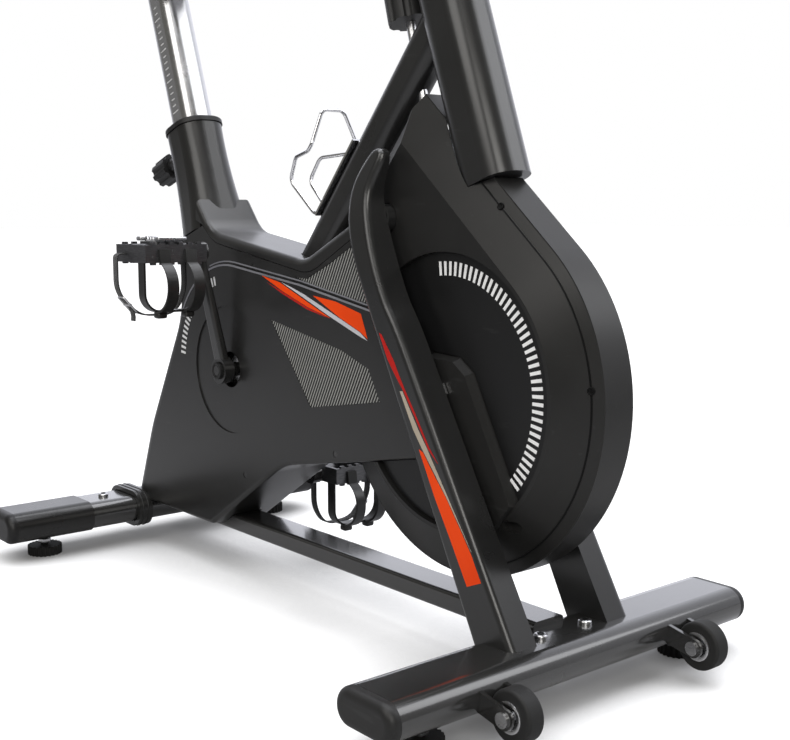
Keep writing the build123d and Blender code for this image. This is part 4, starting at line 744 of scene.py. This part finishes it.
def buildShroudBead(bead):
    lean = bead["neckLean"]
    count = int((lean - bead["from"]) / bead["step"]) + 1
    turns = [bead["from"] + bead["step"] * index for index in range(count)] + [lean]
    path = [aroundAxis(wheelCentre, bead["radius"], turn) for turn in turns]
    last = path[-1]
    turn, run = radians(lean), bead["neckRun"]
    path.append((last[0] - run * sin(turn), last[1] + run * cos(turn)))
    bar = tube([(x, -bead["y"], z) for x, z in path], bead["thick"], sides=2)
    settle(bothSides(bar), "shroudBead", "frame", "seamBlack")


collarRibs = {"places": (0.0545, 0.0635), "grow": 0.0075, "thick": 0.0016, "bend": 0.0205, "corner": 8}


def roundedRing(low, high, corner, steps):  # rounded rectangle in X and Z
    ring = []
    centres = [(high[0] - corner, high[1] - corner), (low[0] + corner, high[1] - corner),
               (low[0] + corner, low[1] + corner), (high[0] - corner, low[1] + corner)]
    for quarter, centre in enumerate(centres):
        for step in range(steps + 1):
            turn = pi / 2 * (quarter + step / steps)
            ring.append((centre[0] + corner * cos(turn), centre[1] + corner * sin(turn)))
    return ring


def buildCollarRibs(ribs):
    low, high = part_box("rear_stabiliser")
    grow = ribs["grow"]
    corners = (low.x - grow, low.z - grow), (high.x + grow, high.z + grow)
    ring = roundedRing(*corners, ribs["bend"] + grow, ribs["corner"])
    bars = [
        tube([(x, -place, z) for x, z in ring], ribs["thick"], closed=True, sides=2)
        for place in ribs["places"]
    ]
    settle(bothSides(joinPieces(bars)), "collarRibs", "frame", "black_plastic")


shroudScrews = {
    "points": [(0.5277, 0.5393), (0.6617, 0.3517)], "y": 0.0275, "radius": 0.0042, "depth": 0.004,
    "tilt": 0.42, "outward": 0.91, "edge": 0.0005, "sides": 20,
}


def buildShroudScrews(screws):
    made = []
    for point in screws["points"]:
        spot = sidePoint(point)
        out = Vector((spot[0] - wheelCentre.x, 0, spot[1] - wheelCentre.z)).normalized() * screws["tilt"]
        out.y = -screws["outward"]
        at = (spot[0], -screws["y"], spot[1])
        made.append(turnedDisc(screws, at, out))
    settle(bothSides(joinPieces(made)), "shroudScrews", "frame", "seamBlack")


footNuts = {"radius": 0.0105, "depth": 0.007, "z": 0.0205, "edge": 0.0008, "sides": 6}


def buildFootNuts(nuts):
    for foot in ("foot_rear_right", "foot_rear_left", "foot_front_right", "foot_front_left"):
        middle = centreOf(foot)
        piece = turnedDisc(nuts, (middle.x, middle.y, nuts["z"]), (0, 0, 1))
        settle(piece, foot + "_nut", foot, "bright_steel")


boltSockets = {
    "radius": 0.0042, "depth": 0.0012, "edge": 0.0002, "sides": 6,
    "rise": 0.0052, "rearY": 0.108, "frontY": 0.036,
}


def buildBoltSockets(sockets):
    rear, front = centreOf("rear_stabiliser"), centreOf("foot_front_right")
    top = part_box("rear_stabiliser")[1].z + sockets["rise"]
    made = [
        turnedDisc(sockets, (x, -y, top), (0, 0, 1))
        for x, y in ((rear.x, sockets["rearY"]), (front.x, sockets["frontY"]))
    ]
    settle(bothSides(joinPieces(made)), "boltSockets", "frame", "seamBlack")


wheelHubs = {"radius": 0.0165, "depth": 0.0022, "proud": 0.0004, "edge": 0.0005, "sides": 32}


def buildWheelHubs(hubs):
    for hand in ("right", "left"):
        name = "transport_wheel_" + hand
        low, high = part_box(name)
        middle = (low + high) / 2
        faces = [
            turnedDisc(hubs, (middle.x, y, middle.z), (0, out, 0))
            for y, out in ((low.y - hubs["proud"], -1), (high.y + hubs["proud"], 1))
        ]
        settle(joinPieces(faces), name + "_hub", name, "bright_steel")


crankCaps = {"radius": 0.0125, "depth": 0.004, "sink": 0.0012, "edge": 0.0008, "sides": 40}


def buildCrankCaps(caps):
    low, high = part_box("crank_spindle")
    made = []
    for y, out in ((low.y, -1), (high.y, 1)):
        at = (crankCentre.x, y - out * caps["sink"], crankCentre.z)
        made.append(turnedDisc(caps, at, (0, out, 0)))
    settle(joinPieces(made), "crankCaps", "cranks", "knob_plastic")


buildShroudBead(shroudBead)
buildCollarRibs(collarRibs)
buildShroudScrews(shroudScrews)
buildFootNuts(footNuts)
buildBoltSockets(boltSockets)
buildWheelHubs(wheelHubs)
buildCrankCaps(crankCaps)
print("stage: bead, ribs, nuts and caps")


# pedals: clip jaws and springs above, straps and buckles below

clip = {
    "axisRise": 0.015,  # teeth and half the plate below the spindle
    "jawSize": (0.012, 0.044, 0.006), "jawReach": 0.026, "jawRise": 0.0195, "jawEdge": 0.0018,
    "lip": 0.008, "lipRise": 0.002, "lipSize": (0.010, 0.02728, 0.0028), "edge": 0.001,
    "plateSize": (0.026, 0.034, 0.003), "plateRise": 0.0165,
    "screw": {"radius": 0.0038, "depth": 0.003, "edge": 0.0004, "sides": 18},
    "screwAside": 0.012, "screwRise": 0.0188,
    "springRadius": 0.0055, "springWire": 0.0012, "springTurns": 7, "springSteps": 12,
    "springHalf": 0.014, "springAhead": -0.017, "springRise": 0.0165,
}


def buildClip(hand, clip):
    body = "pedal_" + hand
    low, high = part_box("pedal_body_" + hand)
    middle = (low + high) / 2
    axisZ = low.z + clip["axisRise"]
    jaws = []
    for ahead in (1, -1):
        at = (middle.x + ahead * clip["jawReach"], middle.y, axisZ + clip["jawRise"])
        jaws.append(roundBlock(clip["jawSize"], at, clip["jawEdge"]))
        hook = (at[0] - ahead * clip["lip"], at[1], at[2] + clip["lipRise"])
        jaws.append(roundBlock(clip["lipSize"], hook, clip["edge"]))
    jaws.append(roundBlock(clip["plateSize"], (middle.x, middle.y, axisZ + clip["plateRise"]), clip["edge"]))
    for side in (-1, 1):
        at = (middle.x, middle.y + side * clip["screwAside"], axisZ + clip["screwRise"])
        jaws.append(turnedDisc(clip["screw"], at, (0, 0, 1)))
    coil = []
    steps = clip["springSteps"] * clip["springTurns"]
    for step in range(steps + 1):
        turn = 2 * pi * step / clip["springSteps"]
        coil.append((
            middle.x + clip["springAhead"] + clip["springRadius"] * cos(turn),
            middle.y - clip["springHalf"] + 2 * clip["springHalf"] * step / steps,
            axisZ + clip["springRise"] + clip["springRadius"] * sin(turn),
        ))
    jaws.append(tube(coil, clip["springWire"], sides=1))
    settle(joinPieces(jaws), "clipJaws_" + hand, body, "bright_steel")


strap = {
    "width": 0.013, "thick": 0.002, "bend": 0.018, "cornerSteps": 6, "edge": 0.3, "cageDrop": 0.018,
    "innerRise": 0.030, "innerRun": 0.020, "outerRise": 0.034, "outerRun": 0.034,
    "tongueWidth": 0.92, "tongueThick": 0.8,  # shares of the band's own
    "tongue": [(0.0215, 0.0125), (0.0240, 0.0070), (0.0255, 0.0005), (0.0250, -0.0060)],
}
buckle = {
    "aside": 0.017, "rise": 0.017, "half": 0.011, "grow": 0.0025, "corner": 0.003, "cornerSteps": 4,
    "slope": 0.9, "wire": 0.0013, "roller": 0.0021,
}


def roundedPath(points, bend, steps):  # straight runs joined by arcs
    path = [points[0]]
    for before, corner, after in zip(points, points[1:], points[2:]):
        start, end = Vector(before) - Vector(corner), Vector(after) - Vector(corner)
        reach = min(bend, start.length * 0.48, end.length * 0.48)  # short runs keep a straight middle
        first, last = Vector(corner) + start.normalized() * reach, Vector(corner) + end.normalized() * reach
        for step in range(steps + 1):
            t = step / steps
            path.append(tuple(first * (1 - t) ** 2 + Vector(corner) * 2 * t * (1 - t) + last * t ** 2))
    return path + [points[-1]]


def ribbon(path, width, thick):  # flat band: path in Y and Z, width along X
    clearSelection()
    bpy.ops.mesh.primitive_plane_add(size=1)
    piece = bpy.context.object
    corners = [(-width / 2, *path[0]), (width / 2, *path[0]), (-width / 2, *path[1]), (width / 2, *path[1])]
    for vertex, corner in zip(piece.data.vertices, corners):
        vertex.co = corner
    editMode()
    bpy.ops.mesh.select_mode(type="EDGE")
    bpy.ops.mesh.select_all(action="DESELECT")
    editMode("OBJECT")
    for edge in piece.data.edges:
        edge.select = set(edge.vertices) == {2, 3}
    editMode()
    for before, after in zip(path[1:], path[2:]):
        move = (0, after[0] - before[0], after[1] - before[1])
        bpy.ops.mesh.extrude_region_move(TRANSFORM_OT_translate={"value": move})
    editMode("OBJECT")
    applyModifier(piece, "SOLIDIFY", thickness=thick, offset=0)
    applyModifier(piece, "BEVEL", width=thick * strap["edge"], segments=2, limit_method="ANGLE")
    facesOut()
    return piece


def buildStrap(hand, out, strap):
    low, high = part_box("toe_strap_" + hand)
    near, far = (high.y, low.y) if out < 0 else (low.y, high.y)
    inset = strap["thick"] / 2
    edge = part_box("pedal_body_" + hand)[0 if out < 0 else 1].y
    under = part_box("toe_cage_" + hand)[1].z - strap["cageDrop"]
    inner, outer = near + out * inset, far - out * inset
    points = [
        (inner, under), (inner, low.z + strap["innerRise"]), (near + out * strap["innerRun"], low.z + inset),
        (far - out * strap["outerRun"], low.z + inset), (outer, low.z + strap["outerRise"]),
        (outer, high.z - inset), (edge, high.z - inset),
    ]
    band = ribbon(roundedPath(points, strap["bend"], strap["cornerSteps"]), strap["width"], strap["thick"])
    middle = (low.x + high.x) / 2
    band.location.x = middle
    band = settle(band, "toeStrap_" + hand, "pedal_" + hand, "strap_fabric")
    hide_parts("toe_strap_" + hand)
    # buckle on the outer run: wire frame, roller and the loose tongue below it
    sideY = far - out * buckle["aside"]
    frameZ = low.z + buckle["rise"]
    half = strap["width"] / 2 + buckle["grow"]
    corners = (middle - half, frameZ - buckle["half"]), (middle + half, frameZ + buckle["half"])
    hoop = roundedRing(*corners, buckle["corner"], buckle["cornerSteps"])
    wire = [(x, sideY + out * (z - frameZ) * buckle["slope"], z) for x, z in hoop]
    roller = [(middle - half, sideY, frameZ), (middle + half, sideY, frameZ)]
    bars = [tube(wire, buckle["wire"], closed=True, sides=2), tube(roller, buckle["roller"], sides=3)]
    settle(joinPieces(bars), "strapBuckle_" + hand, "pedal_" + hand, "bright_steel")
    tongue = [(far - out * aside, low.z + rise) for aside, rise in strap["tongue"]]
    tail = ribbon(tongue, strap["width"] * strap["tongueWidth"], strap["thick"] * strap["tongueThick"])
    tail.location.x = middle
    settle(tail, "strapTail_" + hand, "pedal_" + hand, "strap_fabric")


cageFeet = {"size": (0.014, 0.015, 0.009), "spread": 0.021, "ahead": 0.013, "drop": 0.0027, "edge": 0.003}


def buildCageFeet(hand, feet):
    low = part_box("toe_cage_" + hand)[0]
    middle = centreOf("pedal_body_" + hand)
    made = [
        roundBlock(feet["size"], (low.x + feet["ahead"], middle.y + aside, low.z - feet["drop"]), feet["edge"])
        for aside in (-feet["spread"], feet["spread"])
    ]
    settle(joinPieces(made), "cageFeet_" + hand, "pedal_" + hand, "toe_plastic")


for hand, out in (("right", -1), ("left", 1)):
    buildClip(hand, clip)
    buildStrap(hand, out, strap)
    buildCageFeet(hand, cageFeet)
print("stage: pedals")


# saddle: swollen cover with sewn channels, stitches and piping

cushion = {
    "weld": 0.00005, "voxel": 0.005, "smoothing": 0.5, "pressure": 4.0, "frames": 20, "cap": 0.0055,
    "pinBelow": 0.010, "channelDepth": 0.0022, "channelWidth": 0.0035, "channelFrom": 0.04, "channelTo": 0.97,
    "rearHalf": 0.062, "noseHalf": 0.011, "taper": 1.4,
    "stitchStep": 0.006, "stitchLength": 0.0034, "stitchThick": 0.0005, "stitchFrom": 0.07, "stitchShare": 0.86,
    "above": 2.0,  # height from which the top is found
}


def channelHalf(t):  # half distance between the sewn lines, from the rear to the nose
    return cushion["rearHalf"] * (1 - t) ** cushion["taper"] + cushion["noseHalf"]


def buildSaddle(cushion):
    source = nodes["saddle"]
    piece = source.copy()
    piece.data = source.data.copy()
    piece.parent = None
    for key in list(piece.keys()):
        del piece[key]
    scene.collection.objects.link(piece)
    pick(piece)
    editMode()
    bpy.ops.mesh.select_all(action="SELECT")
    bpy.ops.mesh.remove_doubles(threshold=cushion["weld"])
    bpy.ops.mesh.normals_make_consistent(inside=False)
    editMode("OBJECT")
    low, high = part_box("saddle")
    applyModifier(piece, "REMESH", mode="VOXEL", voxel_size=cushion["voxel"], use_smooth_shade=True)
    applyModifier(piece, "SMOOTH", factor=cushion["smoothing"], iterations=4)
    start = [vertex.co.copy() for vertex in piece.data.vertices]
    pins = piece.vertex_groups.new(name="pinned")
    pins.add([v.index for v in piece.data.vertices if v.co.z < low.z + cushion["pinBelow"]], 1.0, "REPLACE")
    cloth = piece.modifiers.new("Cloth", "CLOTH")
    cloth.settings.vertex_group_mass = "pinned"
    cloth.settings.use_pressure = True
    cloth.settings.uniform_pressure_force = cushion["pressure"]
    cloth.settings.effector_weights.gravity = 0
    cloth.point_cache.frame_end = cushion["frames"]
    for step in range(1, cushion["frames"] + 1):
        scene.frame_set(step)
    bpy.ops.object.modifier_apply(modifier="Cloth")
    scene.frame_set(1)
    for vertex, rest in zip(piece.data.vertices, start):
        move = vertex.co - rest
        if move.length > cushion["cap"]:
            vertex.co = rest + move.normalized() * cushion["cap"]
    applyModifier(piece, "SUBSURF", levels=1, render_levels=1)
    length = high.x - low.x
    middle = (low.z + high.z) / 2
    for vertex in piece.data.vertices:  # press the sewn lines in
        t = (vertex.co.x - low.x) / length
        if vertex.co.z > middle and cushion["channelFrom"] < t < cushion["channelTo"]:
            gap = abs(abs(vertex.co.y) - channelHalf(t)) / cushion["channelWidth"]
            vertex.co.z -= cushion["channelDepth"] / (1 + gap ** 2)
    for vertex in piece.data.vertices:
        vertex.co.z = max(vertex.co.z, low.z)
    piece = settle(piece, "saddleCushion", "saddle", "saddle_skin")
    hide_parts("saddle")
    return piece


def topAt(piece, x, y):
    hit, spot = piece.ray_cast(Vector((x, y, cushion["above"])), Vector((0, 0, -1)))[:2]
    return spot if hit else None


def buildStitches(piece, cushion):
    low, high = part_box("saddle")
    length = high.x - low.x
    count = int(length * cushion["stitchShare"] / cushion["stitchStep"])
    made = []
    for side in (-1, 1):
        for index in range(count):
            t = cushion["stitchFrom"] + cushion["stitchShare"] * index / count
            later = t + cushion["stitchLength"] / length
            ends = [topAt(piece, low.x + spot * length, side * channelHalf(spot)) for spot in (t, later)]
            if all(ends):
                made.append(tube([tuple(end) for end in ends], cushion["stitchThick"], sides=0))
    settle(joinPieces(made), "saddleStitches", "saddle", "silverThreadAndEdgeHighlight")


piping = {
    "thick": 0.0028, "rise": 0.0065, "share": 0.93, "length": 0.262,
    "outline": [(0, 0.130), (0.030, 0.205), (0.095, 0.190), (0.165, 0.088), (0.235, 0.052), (0.262, 0.032)],
    "cornerSteps": (0.0, 0.25, 0.5, 0.75),
}


def saddleOutline(low, high, piping):  # place from the rear and full width, shrunk a little
    stretch = (high.x - low.x) / piping["length"]
    right = [(low.x + at * stretch, -wide / 2 * piping["share"]) for at, wide in piping["outline"]]
    return right + [(x, -y) for x, y in reversed(right)]


def buildPiping(piping):
    low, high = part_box("saddle")
    ring = saddleOutline(low, high, piping)
    path = []
    for index, here in enumerate(ring):  # soften the corners of the outline
        before, after = ring[index - 1], ring[(index + 1) % len(ring)]
        for t in piping["cornerSteps"]:
            first = Vector(before).lerp(Vector(here), 0.5)
            last = Vector(here).lerp(Vector(after), 0.5)
            spot = first * (1 - t) ** 2 + Vector(here) * 2 * t * (1 - t) + last * t ** 2
            path.append((spot.x, spot.y, low.z + piping["rise"]))
    bar = tube(path, piping["thick"], closed=True, sides=3)
    settle(bar, "saddlePiping", "saddle", "black_plastic")


saddleCover = buildSaddle(cushion)
buildStitches(saddleCover, cushion)
buildPiping(piping)
print("stage: saddle")


# handlebar: ribbed grips, end plugs, stem cover; tick scales on both posts

grips = {
    "radius": 0.0185, "inner": 0.01525, "lip": 0.0016, "groove": 0.0009, "grooveHalf": 0.0012, "pitch": 0.0062,
    "fewest": 6, "steps": 36, "weld": 0.00002,
}


def ribbedGrip(start, end, grips):  # lathe profile spun about the bar
    run = (end - start).length
    along = (end - start).normalized()
    across = along.orthogonal().normalized()
    count = max(grips["fewest"], int(run / grips["pitch"]))
    radius, lip, half = grips["radius"], grips["lip"], grips["grooveHalf"]
    profile = [(0.0, grips["inner"]), (0.0, radius - lip), (lip, radius)]
    for index in range(1, count):
        at = run * index / count
        profile += [(at - half, radius), (at, radius - grips["groove"]), (at + half, radius)]
    profile += [(run - lip, radius), (run, radius - lip), (run, grips["inner"])]
    clearSelection()
    bpy.ops.mesh.primitive_circle_add(vertices=len(profile), fill_type="NOTHING")
    piece = bpy.context.object
    for vertex, (at, reach) in zip(piece.data.vertices, profile):
        vertex.co = start + along * at + across * reach
    editMode()
    bpy.ops.mesh.select_all(action="SELECT")
    bpy.ops.mesh.spin(steps=grips["steps"], angle=2 * pi, center=start, axis=along)
    bpy.ops.mesh.select_all(action="SELECT")
    bpy.ops.mesh.remove_doubles(threshold=grips["weld"])
    bpy.ops.mesh.normals_make_consistent(inside=False)
    editMode("OBJECT")
    return piece


barPlaces = {
    "gripFrom": 0.050, "gripTo": 0.105, "half": 0.215, "padFrom": 0.090, "padTo": 0.165,
    "hornFrom": 0.150, "hornReach": 0.195, "hornRise": 0.062,
}
hornPlug = {"radius": 0.0158, "depth": 0.012, "sink": 0.003, "edge": 0.0025, "sides": 40}
stemCover = {
    "size": (0.074, 0.070, 0.052), "ahead": 0.002, "rise": 0.002, "edge": 0.012,
    "ridgeSize": (0.040, 0.052, 0.010), "ridgeAhead": 0.004, "ridgeRise": 0.029, "ridgeEdge": 0.004,
}


def buildGrips(places):
    low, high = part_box("handlebar_grips")
    barX, barZ = low.x + grips["radius"], (low.z + high.z) / 2
    made = []
    for side in (-1, 1):
        y = side * places["half"]
        for start, end in (
            ((barX + places["gripFrom"], y, barZ), (barX + places["gripTo"], y, barZ)),
            ((barX, side * places["padFrom"], barZ), (barX, side * places["padTo"], barZ)),
        ):
            made.append(ribbedGrip(Vector(start), Vector(end), grips))
    piece = settle(joinPieces(made), "ribbedGrips", "handlebar", "grip_rubber")
    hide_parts("handlebar_grips")
    plugs = []
    rise = Vector((places["hornReach"] - places["hornFrom"], 0, places["hornRise"])).normalized()
    for side in (-1, 1):
        tip = Vector((barX + places["hornReach"], side * places["half"], barZ + places["hornRise"]))
        plugs.append(turnedDisc(hornPlug, tip - rise * hornPlug["sink"], rise))
    settle(joinPieces(plugs), "hornPlugs", "handlebar", "knob_plastic")
    at = (barX + stemCover["ahead"], 0, barZ + stemCover["rise"])
    cover = roundBlock(stemCover["size"], at, stemCover["edge"], 4)
    at = (barX + stemCover["ridgeAhead"], 0, barZ + stemCover["ridgeRise"])
    ridge = roundBlock(stemCover["ridgeSize"], at, stemCover["ridgeEdge"])
    settle(joinPieces([cover, ridge]), "stemCover", "handlebar", "black_plastic")


postScale = {
    "step": 0.010, "long": 0.016, "short": 0.009, "longEvery": 5, "aside": 0.002, "thick": 0.0011,
    "rise": 0.00015, "face": 0.0250,
}
seatScale = {"lean": 19.3, "foot": (-0.1685, 0.656), "from": 0.030, "to": 0.200, "slot": "post_chrome"}
barScale = {"lean": 19.7, "foot": (0.3975, 0.8344), "from": 0.025, "to": 0.115, "slot": "bar_paint"}


def buildPostScale(name, body, scale):
    turn = radians(scale["lean"])
    foot = sidePoint(scale["foot"])
    along, across = Vector((-sin(turn), 0, cos(turn))), Vector((cos(turn), 0, sin(turn)))
    made = []
    count = int((scale["to"] - scale["from"]) / postScale["step"])
    for index in range(count + 1):
        wide = postScale["short"] if index % postScale["longEvery"] else postScale["long"]
        reach = scale["from"] + index * postScale["step"]
        middle = Vector((foot[0], 0, foot[1])) + along * reach - across * postScale["aside"]
        corners = [
            middle + across * wide / 2 * a + along * postScale["thick"] / 2 * b
            for a, b in ((-1, -1), (1, -1), (1, 1), (-1, 1))
        ]
        made.append(plate([(corner.x, corner.z) for corner in corners], -postScale["face"], postScale["rise"]))
    settle(joinPieces(made), name, body, "whiteInk")


buildGrips(barPlaces)
buildPostScale("seatScale", "seat_post", seatScale)
buildPostScale("barScale", "handlebar", barScale)
print("stage: handlebar and scales")


print("stage: done")
